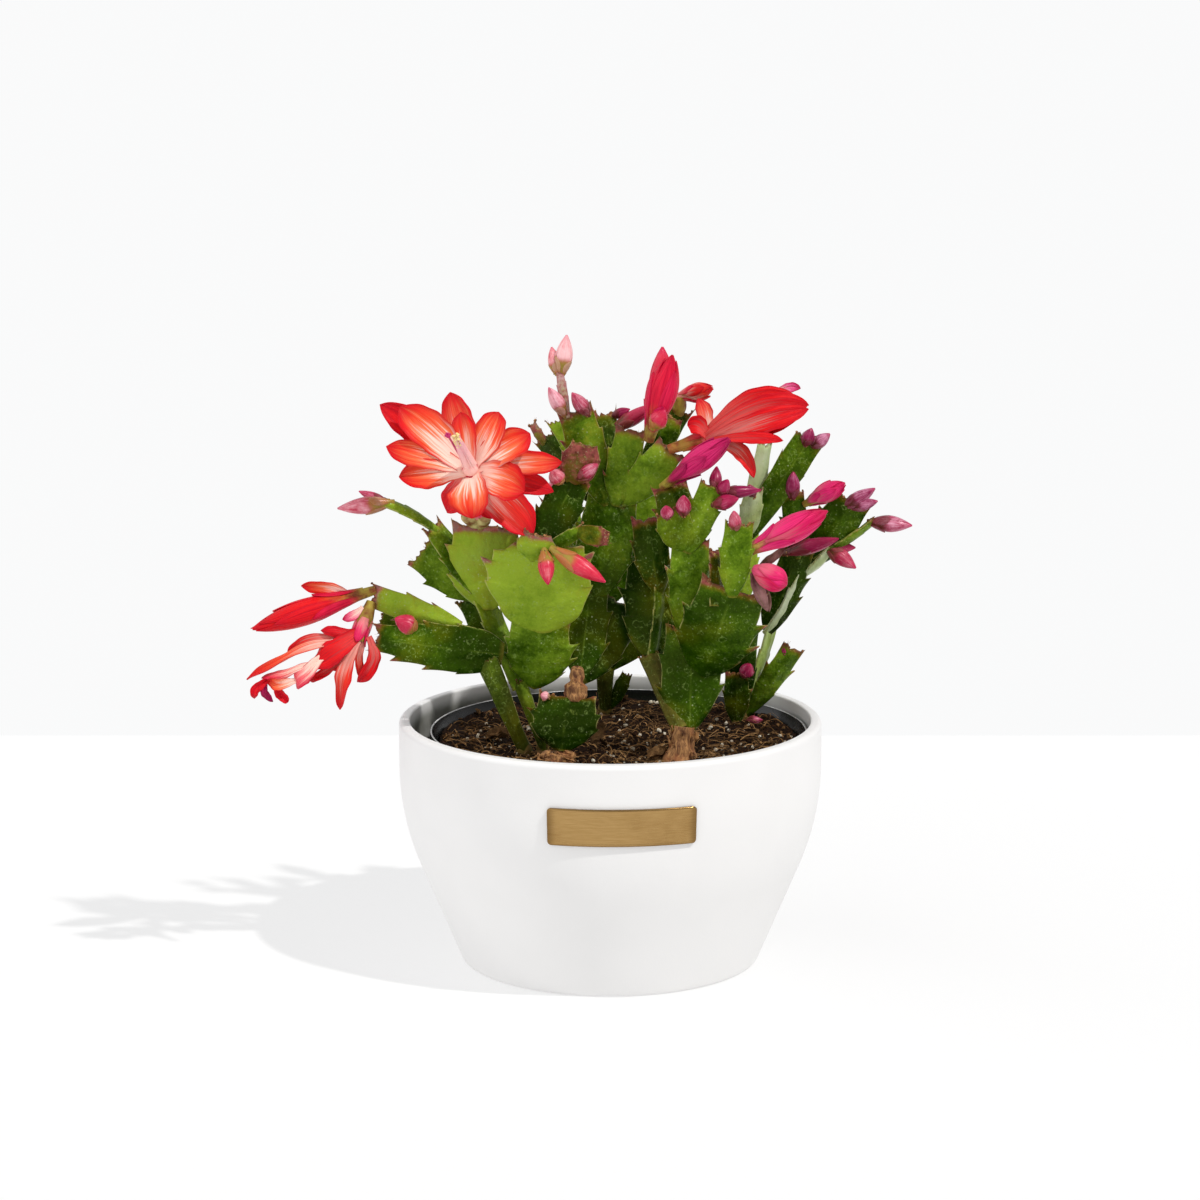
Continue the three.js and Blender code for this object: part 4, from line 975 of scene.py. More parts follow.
def make_stocks():
    """The two woody feet that carry the centre stem and the right stem, with their torn bark."""
    rng = np.random.default_rng(21)
    centre = Piece()
    profile = [[0, 0.8], [0.5, 1.0], [0.8, 1.02], [1, 0.86]]
    spindle(centre, (-21, -36, ROOT_BOTTOM), (-21, -36, 91.6), 11, profile, (0, 0, 0), 0, 48, 30, 0.16, 3)
    cork_rows = [[[-24, -37, 89], [-26, -37.5, 92.4], 6], [[-18, -35.5, 89], [-16, -35, 92.4], 7]]
    for i, (base, tip, thick) in enumerate(cork_rows):
        spindle(centre, base, tip, thick, CORK_LINE, (0, 0, 0), 0, 36, 24, 0.2, i + 5)
    for i in range(16):
        turn = i * 0.4 + rng.uniform(-0.15, 0.15)
        ring = level_way(turn)
        at = (-22, -36, 88.4) + ring * (5.4, 3.4, 0)
        way = ring * 0.7 + (0, 0, 1)
        flake(centre, at, way, ring, rng.uniform(2.8, 4.6), rng.uniform(2.4, 4.2), rng, 0)
    centre.build("stock_centre", [BARK])
    right = Piece()
    profile = [[0, 1.9], [0.4, 1.7], [0.5, 1.42], [0.6, 1.14], [0.75, 0.94], [1, 0.84]]
    foot, top = array((26.2, -36.0, ROOT_BOTTOM)), array((28.8, -33.6, 101.9))
    spindle(right, foot, top, 9.8, profile, (0, 0, 0), 0, 64, 60, 0.16, 9)
    for i in range(26):
        height, turn = rng.uniform(0.42, 0.92), rng.uniform(0, 2 * pi)
        ring = level_way(turn)
        radius = 4.9 * line_through(profile, height) - 0.3
        at = foot + (top - foot) * height + ring * radius
        way = ring * 0.25 + (0, 0, rng.choice((-1, 1)))
        flake(right, at, way, ring, rng.uniform(2.0, 5.0), rng.uniform(1.2, 2.6), rng, 0)
    right.build("stock_right", [BARK])


# Blooms

PETAL_LINE = [[0, 0.36], [0.16, 0.54], [0.4, 0.88], [0.62, 1.0], [0.8, 0.88], [0.91, 0.58], [0.97, 0.26],
              [1, 0.03]]
PETAL_THICKNESS = 0.5
PETAL_RING = blade_ring(19)
CLOSED_LINE = [[-0.1, 0.36], [0, 0.42], [0.16, 0.52], [0.42, 0.88], [0.6, 0.92], [0.78, 0.7], [0.92, 0.36],
               [1, 0.08]]
NECK_LINE = [[-0.1, 0.6], [0, 0.66], [0.4, 0.98], [0.75, 0.92], [1, 0.8]]
TUBE_LINE = [[-0.08, 0.4], [0, 0.5], [0.3, 0.95], [0.7, 0.75], [1, 0.9]]
FORWARD = (0, -1, 0)


def petal(piece, row, tint, seed, limp=0.0):
    """One petal on a curve: row is [root, belly, tip, width, the way that it faces]. A limp one
    hangs in folds."""
    root, belly, tip, width, face = (array(value, float) for value in row)
    rng = np.random.default_rng(seed)
    t = linspace(0, 1, 34)[:, None]
    middle = root * (1 - t) ** 2 + belly * 2 * t * (1 - t) + tip * t**2
    way = unit(2 * (1 - t) * (belly - root) + 2 * t * (tip - belly))
    up = unit(face - (way @ face)[:, None] * way)
    side = cross(up, way)
    twist = (rng.uniform(-0.15, 0.15) + limp * rng.uniform(-1.8, 1.8)) * t
    up, side = up * cos(twist) - side * sin(twist), side * cos(twist) + up * sin(twist)
    across, front = PETAL_RING
    phase = rng.uniform(0, 6, 7)
    middle = middle + side * (limp * 1.1 * sin(t * 8 + phase[3]) * t * (1 - t) * 2)
    middle = middle + up * (limp * 1.3 * sin(t * 10 + phase[4]) * t)
    lopsided = 1 + 0.1 * sin(t * 5 + phase[5]) * np.sign(across)
    half = line_through(PETAL_LINE, t) * width / 2 * lopsided * (1 - 0.25 * limp * t)
    half = half * (1 + 0.03 * sin(t * 31 + phase[6]) * abs(across))
    rim = abs(across)
    cup = (0.2 + limp * 0.9 * sin(t * 3 + phase[0])) * rim**1.7 * half
    crease = -0.25 * exp(-((across / 0.13) ** 2)) * (1 - t * 0.5)
    pleat = 0.05 * cos(across * 17 + phase[2]) * (1 - t**3)
    wave = (0.11 + limp * 0.25) * half * sin(t * (9 + limp * 9) + phase[0]) * across * rim
    wave = wave + 0.04 * half * sin(across * 11 + phase[1]) * t
    wave = wave + limp * 0.16 * half * sin(across * 5 + phase[1] + t * 3)
    droop = rng.uniform(-1.2, 0.3) * t**4
    depth = front * PETAL_THICKNESS / 2 * sqrt(1.05 - rim**4) + cup + crease + pleat + wave + droop
    rings = sweep(middle[:, None], (across * half, side[:, None]), (depth, up[:, None]))
    piece.skin(rings, grid(across, t), tint)


# Layers of a closed bloom: [petals, first turn, start, ends, half angle, lift, flares, added hue, share
# of the paleness, root colour, rows, columns]. A root colour of None is the bloom's own.
LAYERS = [
    [4, 0, 0.2, (0.93, 1.02), 0.95, 0.2, (0, 0.4), 0, 1, 0.3, 24, 15],
    [3, 0.7, 0.1, (0.7, 0.88), 0.75, 0.45, (0.1, 0.9), 0.05, 0.7, 0.7, 20, 13],
    [3, 0.3, 0, (0.34, 0.52), 0.7, 0.6, (0.1, 0.9), 0.16, 0.5, None, 14, 11],
]


def closed_bloom(piece, base, tip, thick, hue, pale, neck, seed):
    """A long closed bloom: a core with three layers of petals that wrap it."""
    rng = np.random.default_rng(seed)
    body = (base, tip, thick * 0.92, CLOSED_LINE)
    spindle(piece, base, tip, thick * 0.9, CLOSED_LINE, (hue, pale, neck), 0, 24, 28)
    start = rng.uniform(0, 6)
    for count, first, low, ends, half_angle, lift, flares, redder, share, root, rows, columns in LAYERS:
        for i in range(count):
            span = (low, rng.uniform(*ends))
            middle = start + first + i * round(2 * pi / count, 2)
            tint = (hue + redder, pale * share, neck if root is None else root)
            shell(piece, body, span, middle, half_angle, lift, rng.uniform(*flares), tint, 0, rows, columns)


THROAT = array((-54.0, -41.0, 206.0))
THROAT_INSIDE = [-53.6, -39, 203.5]
OPEN_FACE = [-9, -28, 14]
# Rows: [tip, width, how white]
OPEN_TIPS = [
    [[-81, -37, 228.5], 15, 1.2], [[-86, -41, 213.5], 11, 1.25], [[-81, -43, 202], 12, 1.25],
    [[-57.5, -36, 226], 9.5, 0.7], [[-43, -34, 226], 13, 0.95], [[-31, -38, 218], 14, 0.95],
    [[-33, -46, 197], 15, 0.8], [[-53, -49, 187], 16, 0.95], [[-18.5, -36, 207], 9.5, 1.15],
]
# Back petals, rows as above. They are given less white and a little other hue than the front ones: partly
# painted shade.
OPEN_BACK_TIPS = [
    [[-62, -28, 233], 12, 0.75], [[-22, -34, 195], 9.5, 0.2], [[-30, -40, 179], 15, 0.45],
    [[-64, -30, 186], 12, 0.3], [[-89, -31, 228.5], 12, 0.2], [[-45, -33, 184], 12, 0.3],
]
FRONT_BOW = array((0, -5, 1))
BACK_BOW = array((0, 2, 0))

# Closed blooms: [base, tip, thickness, hue, how pale, root colour, seed]
BLOOMS = {
    "bloom_closed_left": [[-96.4, -24.4, 153.3], [-140, -30, 140], 11, 0.04, 0, 1, 11],
    "bloom_upright": [[15.6, -23, 216.3], [23.8, -30, 247.5], 13, 0.18, 0, 1, 12],
    "bloom_magenta": [[22.4, -28.3, 197.7], [45, -52, 218], 10, 0.68, 0, 1, 14],
    "bloom_pink_right": [[54.3, -43.4, 173.9], [83, -47, 189.5], 11.5, 0.36, 0.12, 1, 15],
    "bloom_pink_back": [[79, 8.8, 184.1], [93.5, 3, 193], 8.2, 0.4, 0.25, 1, 17],
    "bloom_half_open": [[27.4, -26.2, 211.9], [75.6, -31, 228], 12, 0, 0.1, 0.8, 18],
}
# Loose petals on them: [root, belly, tip, width, the way that it faces, hue, how white]
BLOOM_PETALS = {
    "bloom_closed_left": [
        [[-101, -24, 152], [-110, -26, 157], [-121, -27, 156.5], 6, [0, -1, -0.4], 0.04, 1],
        [[-97, -28, 148.5], [-100, -31, 145.5], [-104.5, -32, 144], 4, FORWARD, 0.3, 0.9],
    ],
    "bloom_half_open": [
        [[36, -29, 216], [54, -35, 237.5], [72, -33, 231], 7.5, [-0.2, -1, 0.4], 0, 0.12],
        [[36, -31, 215], [55.7, -40, 233.5], [76.5, -33, 228.5], 9, [-0.1, -1, 0.3], 0, 0.12],
        [[36, -31, 213.5], [56, -43, 224.5], [76, -34, 227], 9, [0, -1, 0.1], 0, 0.22],
        [[38, -28, 216], [37, -27, 223], [33.9, -26, 230.4], 7, [0.4, -1, 0], 0.1, 1.5],
        [[38, -31, 215], [34, -32, 222], [29.6, -31, 220.4], 7.5, [0.6, -1, 0.2], 0, 0.1],
        [[38, -33, 214.5], [53.7, -42, 218.6], [66.5, -39, 215.8], 5, [0, -1, 0.5], 0, 0.05],
        [[38, -27, 214], [54, -34, 216.5], [74, -33, 225.5], 7.5, [0, -1, 0.4], 0, 0.3],
        [[38, -29, 213], [52, -38, 215.2], [56, -35, 200.5], 7.6, [0.5, -1, 0.6], 0, 0.4],
        [[62, -27, 230], [68, -25, 236.5], [73.4, -27, 234.2], 4, FORWARD, 0.45, 1.9],
    ],
}
# Buds against them: [base, tip, thickness, hue, how pale], where how pale sets their painted highlights
BLOOM_BUDS = {
    "bloom_upright": [
        [[16.5, -28.5, 219.5], [21, -32, 226.5], 7.4, 0.35, 0.1],
        [[20, -21, 226], [20, -23, 250], 10.6, 0.1, 0],
    ],
}
# Petals of the wilted bloom, as the loose petals
WILTED = [
    [[-97, -31, 138.8], [-106.7, -42, 134.7], [-117.6, -36, 126.6], 10.5, [0, -1, 0.4], 0.05, 0.05],
    [[-97, -31, 138.8], [-104, -36, 139.6], [-113.4, -33, 140], 5, [0, -1, 0.6], 0.1, 0.1],
    [[-99.5, -33, 136.9], [-123.3, -38, 134.7], [-141.6, -34, 120.2], 5.6, [0, -1, 1], 0.0, 0.9],
    [[-98, -32, 138.5], [-123.4, -33, 138.2], [-126.3, -31, 129.8], 4.5, [0, -1, 1], 0.05, 0.4],
    [[-112, -36, 130.5], [-120.3, -41, 124.4], [-123.8, -37, 117.7], 7.5, [0, -1, 0.2], 0.2, 1.8],
    [[-114, -36, 128], [-127.8, -38, 123.8], [-136.3, -35, 121.5], 4.6, [0, -1, 0.6], 0.2, 1.5],
    [[-131.9, -35, 121.4], [-139.7, -37, 119.6], [-139.1, -35, 113.2], 4.2, [0, -1, 0.4], 0.1, 0.0],
    [[-133.8, -35, 121], [-137.4, -37, 116.1], [-131.9, -35, 111.9], 3.4, [0.4, -1, 0], 0.9, 0.0],
    [[-131.6, -35, 119.5], [-129.5, -37, 115.4], [-126, -35, 111.9], 4.2, [0, -1, 0.3], 0.1, 0.0],
    [[-121, -36, 121.5], [-130, -40, 118.4], [-134.5, -36, 121], 5, [0, -1, 0.6], 0.0, 1.7],
    [[-98.2, -34, 136.2], [-105.3, -42, 125.5], [-106.5, -37, 109.1], 7.4, FORWARD, 0.0, 0.6],
    [[-94.5, -32, 137.5], [-88.8, -35, 126.6], [-99.5, -31, 118.6], 6.6, [0.3, -1, 0], 0.06, 0.2],
    [[-95.7, -31, 136.9], [-99.4, -33, 128.1], [-98.2, -30, 120.9], 3.6, FORWARD, 0.0, 0.6],
    [[-102, -34, 130], [-112.8, -36, 123], [-117.9, -34, 120.2], 4.2, [0, -1, 0.6], 0.06, 0.2],
    [[-98, -31, 138], [-103.1, -30, 129.1], [-109.5, -31, 124.1], 7.5, FORWARD, 0.08, 0.5],
]


def make_blooms():
    for node, form in BLOOMS.items():
        piece = Piece()
        closed_bloom(piece, *form)
        seed = form[-1]
        for i, (*row, hue, pale) in enumerate(BLOOM_PETALS.get(node, [])):
            petal(piece, row, (hue, pale, 0), seed * 10 + i, 0.08)
        for i, row in enumerate(BLOOM_BUDS.get(node, [])):
            bud(piece, row, seed * 20 + i, 1)
        piece.build(node, [PETAL, BUD])


def make_side_bloom():
    """A small bloom behind the upright one: a green neck, and petals that lean to the right."""
    piece = Piece()
    top = [27.2, -0.6, 228.2]
    spindle(piece, [27.2, 1.6, 220.4], top, 6, NECK_LINE, (0.1, 0, 2.4), 0, 18, 14)
    closed_bloom(piece, top, [40.4, -4, 231.8], 7.4, 0.02, 0.5, 0, 19)
    piece.build("bloom_side", [PETAL])


def make_blunt_bloom():
    """A fat round-tipped bud on the right, with the withered petals of the bloom beside it."""
    piece = Piece()
    base, tip = [56.4, -44.4, 166], [67.6, -48.8, 161]
    line = [[-0.14, 0.3], [0, 0.56], [0.2, 0.86], [0.5, 1.0], [0.78, 0.86], [0.93, 0.5], [1, 0.12]]
    body = (base, tip, 9.6, line)
    spindle(piece, base, tip, 9.6, line, (0.42, 0.1, 0.0), 0, 26, 24)
    for i in range(3):
        tint = (0.4 - 0.08 * i, 0.16, 0)
        shell(piece, body, (0.04, 1), 0.6 + i * THIRD_TURN, 1.05, 0.14, 0, tint, 0, 22, 13, 0.24)
    withered = [
        [[54.4, -44.6, 165], [56, -46, 160], [60.5, -44, 149.5], 5, FORWARD],
        [[54.4, -44.2, 165], [60, -40, 162], [61.5, -39, 148.6], 4, [0.6, -1, 0]],
        [[54.6, -43.8, 165.5], [61, -41, 168], [67.5, -40, 175], 3.6, [0, -1, -0.6]],
    ]
    for i, row in enumerate(withered):
        petal(piece, row, (0.8, 0.0, -1.0), 160 + i, 0.5)
    piece.build("bloom_blunt_right", [PETAL, BUD])


STAMEN_END = array((-58.6, -65.0, 221.0))
FILAMENTS = 84


def make_open_bloom():
    """The wide open bloom: its tube, its back and front petals, and its filaments and style."""
    piece = Piece()
    foot = [-50.9, -21.2, 180.5]
    neck_end = THROAT + unit(foot - THROAT) * 2.6
    spindle(piece, foot, neck_end, 8, TUBE_LINE, (0.2, 0.7, 1.3), 0, 24, 24)
    body = (foot, THROAT, 9, TUBE_LINE)
    for i in range(4):
        shell(piece, body, (0.02, 0.55), i * QUARTER_TURN, 0.8, 0.4, 1.6, (0.3, 0.4, 1.2), 0, 14, 11)
    for i in range(2):
        bulb = (THROAT + foot) / 2 + (-3.5 + i * 7, 2, -8.5)
        spindle(piece, foot, bulb, 6.6, NECK_LINE, (0.1, 0.95, 2.2), 0, 18, 14)
    for i, (tip, width, white) in enumerate(OPEN_BACK_TIPS):
        belly = (THROAT + tip) / 2 + BACK_BOW
        petal(piece, [THROAT_INSIDE, belly, tip, width, OPEN_FACE], (0.06, white, 0.0), 210 + i, 0.14)
    for i, (tip, width, white) in enumerate(OPEN_TIPS):
        belly = (THROAT + tip) / 2 + FRONT_BOW
        petal(piece, [THROAT_INSIDE, belly, tip, width, OPEN_FACE], (0.0, white, 0.0), 200 + i, 0.1)
    mouth = THROAT + unit(STAMEN_END - THROAT) * 2.5
    bowl = [[0, 0.7], [0.3, 1], [0.7, 0.85], [1, 0.5]]
    spindle(piece, THROAT_INSIDE, mouth, 6.4, bowl, (0.3, 0.8, 0), 0, 20, 10, reach=0.3)
    rng = np.random.default_rng(77)
    along, face, side, length = blade_frame(THROAT, STAMEN_END)
    share = linspace(0, 1, 9)[:, None]
    for _ in range(FILAMENTS):
        turn, out = rng.uniform(0, 2 * pi), 2.6 * sqrt(rng.uniform(0.02, 1))
        spread = side * cos(turn) + face * sin(turn) * 0.8
        reach = rng.uniform(0.66, 0.98)
        path = THROAT + along * length * reach * share + spread * out * (1 - 0.5 * share)
        thread(piece, path, 0.36, 1, (0, 0, 0), 6, 0.7)
        nub(piece, path[-1] + along * 0.4, 0.55, rng, 1, (0, 1, 0))
    style = THROAT + along * length * 1.06 * share + side * (1.5 + 0.8 * share)
    thread(piece, style, 0.42, 1, (0.9, 0, 0), 8, 0.9)
    for i in range(6):
        at = style[-1] + side * 0.6 * cos(i * SIXTH_TURN) + face * 0.6 * sin(i * SIXTH_TURN)
        nub(piece, at, 0.75, rng, 1, (1, 0, 0))
    piece.build("bloom_open", [PETAL, STAMEN])


def make_wilted_bloom():
    piece = Piece()
    base, tip = [-94.2, -25.4, 148.6], [-99, -31.5, 136]
    body = (base, tip, 6.6, NECK_LINE)
    spindle(piece, *body, (0.2, 0.2, 2.4), 0, 20, 18)
    for i in range(4):
        shell(piece, body, (0.4, 1.1), i * QUARTER_TURN, 0.8, 0.3, 0.9, (0.3, 0.3, 0.2), 0, 12, 11)
    for i, (*row, hue, pale) in enumerate(WILTED):
        petal(piece, row, (hue, pale * 0.8, 0.0), 300 + i, 0.5)
    piece.build("bloom_wilted", [PETAL])


def make_fallen_bud():
    """The bud on the soil, raised because the soil there is higher than the solid's."""
    low, high = (array(corner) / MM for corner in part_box("fallen_bud"))
    middle = (low + high) / 2 + (0, 0, FALLEN_LIFT)
    piece = Piece()
    ends = [[low[0] + 0.4, *middle[1:]], [high[0], *middle[1:]]]
    bud(piece, [*ends, 3.2, 0.75, 0.3], 5, 0)
    piece.build("fallen_bud", [BUD])


# Soil

def soil_height(x, y):
    """Height of the soil's top from the nursery pot's middle: the solid's, heaped up at the wall."""
    lumps = sin(x * 0.21 + 1) * cos(y * 0.17) + 0.6 * sin(x * 0.09 - y * 0.13)
    return SOIL_TOP + SOIL_LUMP * lumps + SOIL_HEAP * (hypot(x, y) / NURSERY_RIM) ** 4


def nursery_radius(height):
    low, high = PLANTER_FLOOR + GAP, NURSERY_TOP - NURSERY_RIM_DEPTH
    return NURSERY_BASE + (NURSERY_RIM - NURSERY_STEP - NURSERY_BASE) * (height - low) / (high - low)


# How fine the soil's mesh is, how high its side goes, how rough it is, and how many bits lie on it
SOIL_SIDES = 264
SOIL_ROWS = 112
SOIL_SKIRT = 88.2
CRUMB = 0.75
CRUMBS = 850
PERLITE = 280
CHIPS = 260
FIBRES = 1500


def crumb_height(x, y):
    place = Vector((x, y, 0))
    coarse = noise.noise(place * 0.22) * 1.1
    middle = abs(noise.noise(place * 0.6 + Vector((9, 4, 2)))) * 1.3
    fine = noise.noise(place * 1.7) * 0.5
    return CRUMB * (coarse + middle + fine - 0.5)


def make_soil():
    piece = Piece()
    turn = round_angles(SOIL_SIDES)
    wall = nursery_radius(SOIL_SKIRT) - NURSERY_WALL - GAP
    bottom = PLANTER_FLOOR + 2 * GAP + NURSERY_WALL
    foot = nursery_radius(bottom) - NURSERY_WALL - GAP
    rings = [grid(radius * cos(turn), radius * sin(turn), height)
             for radius, height in [(foot, bottom), (wall, SOIL_SKIRT)]]
    for radius in linspace(wall - 0.2, 0.6, SOIL_ROWS):
        x, y = radius * cos(turn), radius * sin(turn)
        rough = array([crumb_height(a, b) for a, b in zip(x, y)])
        rings.append(grid(x, y, soil_height(x, y) + rough))
    rings = array(rings) + (NURSERY_X, 0, 0)
    piece.skin(rings, zeros((len(rings), SOIL_SIDES, 2)), ends="ring")
    piece.build("soil", [SOIL], sharp=180)


# Curls of dry bark on the soil: [x, y, the way that it runs]
DRY_CURLS = [[-50, -4, -0.3], [-8, -8, 1.0], [14, -34, 0.4]]


def make_soil_bits():
    """Loose crumbs, fibres, bark chips and perlite on the soil."""
    rng = np.random.default_rng(42)
    wall = nursery_radius(SOIL_SKIRT) - NURSERY_WALL - 1.5
    piece = Piece()

    def spot():
        radius, turn = wall * sqrt(rng.uniform(0, 1)), rng.uniform(0, 2 * pi)
        x, y = radius * cos(turn), radius * sin(turn)
        return array((x + NURSERY_X, y, soil_height(x, y) + crumb_height(x, y)))

    for _ in range(CRUMBS):
        size = rng.uniform(0.3, 0.9)
        nub(piece, spot() + (0, 0, size * 0.3), size, rng, 0, (rng.uniform(0, 0.7) ** 2.2, 0, 0))
    for _ in range(PERLITE):
        size = rng.uniform(0.25, 1.0)
        nub(piece, spot() + (0, 0, size * 0.4), size, rng, 0, (0.3, rng.uniform(0.5, 1.0), 0))
    for _ in range(CHIPS):
        turn, lean = rng.uniform(0, 2 * pi), rng.uniform(-0.25, 0.5)
        way = level_way(turn) + (0, 0, lean)
        out = (rng.uniform(-0.5, 0.5), rng.uniform(-0.5, 0.5), 1)
        length = rng.uniform(1.6, 5.0) * rng.uniform(0.6, 1.0)
        flake(piece, spot() + (0, 0, 0.5), way, out, length, length * rng.uniform(0.25, 0.6), rng, 0,
              (rng.uniform(0, 0.9) ** 2.2, 0, 0))
    for x, y, heading in DRY_CURLS:
        way, out = (cos(heading), sin(heading), 0.25), (0.2, -0.6, 1)
        for i in range(3):
            at = (x + i * 0.7, y + i * 0.5, soil_height(x, y) + 1.2 + i * 0.5)
            flake(piece, at, way, out, 10 - i * 2, 5.5 - i, rng, 0, (0.2 + 0.12 * i, 0, 0))
    share = linspace(0, 1, 6)[:, None]
    for _ in range(FIBRES):
        start, heading = spot(), rng.uniform(0, 2 * pi)
        way = level_way(heading)
        bend = array((-way[1], way[0], 0)) * rng.uniform(-0.7, 0.7)
        length = rng.uniform(2.0, 9.0)
        path = start + length * (way * share + bend * share**2) + (0, 0, 0.5)
        path[:, 2] += sin(share[:, 0] * pi) * rng.uniform(0.2, 1.6)
        inside = hypot(path[:, 0] - NURSERY_X, path[:, 1]).max() < wall + 0.6
        if inside:
            thread(piece, path, rng.uniform(0.08, 0.22), 0, (rng.uniform(0.0, 1.0) ** 1.25, 0, 0), 4, 0.5)
    piece.build("soil_bits", [SOIL], own=True)


# Planter, plate and nursery pot

# Faces round each pot, and the roundings of the planter's rim
PLANTER_SIDES = 256
NURSERY_SIDES = 192
RIM_ROUND = 2.0
INNER_ROUND = 0.8


def planter_radius(height):
    """Radius of the planter's outside: an upright wall, a round shoulder and a taper."""
    fall = SHOULDER_TOP - height
    bend = SHOULDER_RADIUS * sin(TAPER)
    if fall <= 0:
        return PLANTER_RADIUS
    if fall < bend:
        return PLANTER_RADIUS - SHOULDER_RADIUS + sqrt(SHOULDER_RADIUS**2 - fall**2)
    inset = SHOULDER_RADIUS * (1 - cos(TAPER))
    return PLANTER_RADIUS - inset - (fall - bend) * tan(TAPER)


def arc(centre_radius, centre_height, radius, start, end, steps=6):
    """Points of a round edge in a profile, from one angle to another in degrees."""
    angles = [radians(start + (end - start) * i / steps) for i in range(steps + 1)]
    return [(centre_radius + radius * cos(a), centre_height + radius * sin(a)) for a in angles]


def lathe(piece, profile, sides, shape=None, middle=BARE):
    """A skin turned from a profile of (radius, height)."""
    turn = round_angles(sides)
    radius, height = array(profile, float).T
    rings = grid(radius[:, None] * sin(turn), -radius[:, None] * cos(turn), height[:, None])
    if shape:
        shape(rings, turn)
    piece.skin(rings + array(middle), zeros((len(profile), sides, 2)), ends="ring")


def make_planter():
    def cut_notches(rings, turn):
        width = NOTCH_WIDTH / planter_radius(0)
        for middle in (0.0, 2 * pi / 3, 4 * pi / 3):
            near = abs((turn - middle + pi) % (2 * pi) - pi) < width / 2
            low = (rings[..., 2] < NOTCH_HEIGHT) & (hypot(rings[..., 0], rings[..., 1]) > PAD_RADIUS + 1)
            rings[..., 2] = where(low & near, NOTCH_HEIGHT, rings[..., 2])

    foot = planter_radius(0)
    inner_foot = foot - FOOT_WIDTH
    inner_rim = PLANTER_RADIUS - PLANTER_WALL
    profile = [(0.5, 0), (PAD_RADIUS, 0), (PAD_RADIUS, FOOT_RECESS), (inner_foot, FOOT_RECESS)]
    profile += [(inner_foot, 0), (foot - 0.7, 0), (foot - 0.2, 0.15), (foot + 0.15, 0.6)]
    profile += [(planter_radius(h), h) for h in linspace(1.2, PLANTER_HEIGHT - 2.2, 74)]
    profile += arc(PLANTER_RADIUS - RIM_ROUND, PLANTER_HEIGHT - RIM_ROUND, RIM_ROUND, 0, 90, 7)
    profile += arc(inner_rim + INNER_ROUND, PLANTER_HEIGHT - INNER_ROUND, INNER_ROUND, 90, 180, 5)
    profile += [(planter_radius(h) - PLANTER_WALL, h) for h in linspace(PLANTER_HEIGHT - 1.6, 12, 40)]
    floor = planter_radius(PLANTER_FLOOR) - PLANTER_WALL
    profile += [(floor, PLANTER_FLOOR + 3), (floor - 4, PLANTER_FLOOR), (0.5, PLANTER_FLOOR)]
    piece = Piece()
    lathe(piece, profile, PLANTER_SIDES, shape=cut_notches)
    piece.build("planter", [planter_look()], sharp=40)


# The plate's rim from its back to its face: (millimetres in from the edge, share of its thickness)
PLATE_STEPS = [(0.5, 0), (0, 0.12), (0, 0.72), (0.1, 0.9), (0.3, 1), (0.95, 1), (1.15, 0.9), (1.4, 0.9)]


def make_plate():
    """The bare plate, bent round the planter, with rounded corners and a bevelled rim."""
    centre = (PLATE_START + PLATE_END) / 2
    half_width = PLANTER_RADIUS * (PLATE_END - PLATE_START) / 2
    half_height = (PLATE_HIGH - PLATE_LOW) / 2
    middle_height = (PLATE_HIGH + PLATE_LOW) / 2
    straight = linspace(-1, 1, 61)
    corner = linspace(0, pi / 2, 7)
    rings, places = [], []
    for inset, proud in PLATE_STEPS:
        wide, high, round_corner = half_width - inset, half_height - inset, max(0.3, PLATE_CORNER - inset)
        left = [(-wide + round_corner * (1 - sin(a)), high - round_corner * (1 - cos(a)))
                for a in corner[::-1]]
        middle = [((wide - round_corner) * s, high) for s in straight[1:-1]]
        right = [(-x, y) for x, y in left[::-1]]
        top = left + middle + right
        ring = [(x, -y) for x, y in top] + [(x, y) for x, y in top[::-1]]
        out = GAP + proud * PLATE_THICKNESS
        rings.append([plate_point(centre, x, middle_height + y, out) for x, y in ring])
        places.append([(abs(x) / half_width, abs(y) / half_height) for x, y in ring])
    rings, places = array(rings), array(places)
    piece = Piece()
    index, quads = ring_faces(rings)
    faces = quads.tolist()
    for ring, turned in ((index[0], True), (index[-1], False)):
        strip = [[ring[i], ring[i + 1], ring[-i - 2], ring[-i - 1]] for i in range(len(ring) // 2 - 1)]
        faces += [face[::-1] for face in strip] if turned else strip
    piece.gather(rings.reshape(-1, 3), faces, places, BARE, 0)
    piece.build("name_plate", [plate_look()], sharp=35)


def plate_point(centre, across, height, proud):
    radius = planter_radius(height) + proud
    angle = centre + across / PLANTER_RADIUS
    return (radius * sin(angle), -radius * cos(angle), height)


def make_nursery_pot():
    under = NURSERY_TOP - NURSERY_RIM_DEPTH
    bottom = PLANTER_FLOOR + GAP
    floor = bottom + NURSERY_WALL
    rim = NURSERY_RIM
    profile = [(0.5, bottom), (NURSERY_BASE, bottom), (nursery_radius(under), under)]
    profile += [(rim - 0.3, under + 0.1), (rim, under + 0.5)]
    profile += arc(rim - 0.45, NURSERY_TOP - 0.45, 0.45, 0, 180, 8)
    profile += [(rim - NURSERY_WALL - 0.4, under + NURSERY_WALL)]
    profile += [(nursery_radius(height) - NURSERY_WALL, height) for height in (under, floor)]
    profile += [(0.5, floor)]
    piece = Piece()
    lathe(piece, profile, NURSERY_SIDES, middle=(NURSERY_X, 0, 0))
    piece.build("nursery_pot", [nursery_look()], sharp=40)


# Stage, light and camera

# The floor, in metres: its edges and how far it lies below 0. Its grey, and how much light it adds
FLOOR_BACK = 0.392
FLOOR_FRONT = -2.2
FLOOR_SIDE = 2.2
FLOOR_DROP = 0.0002
FLOOR_GREY = 0.37
FLOOR_GLOW = 0.535
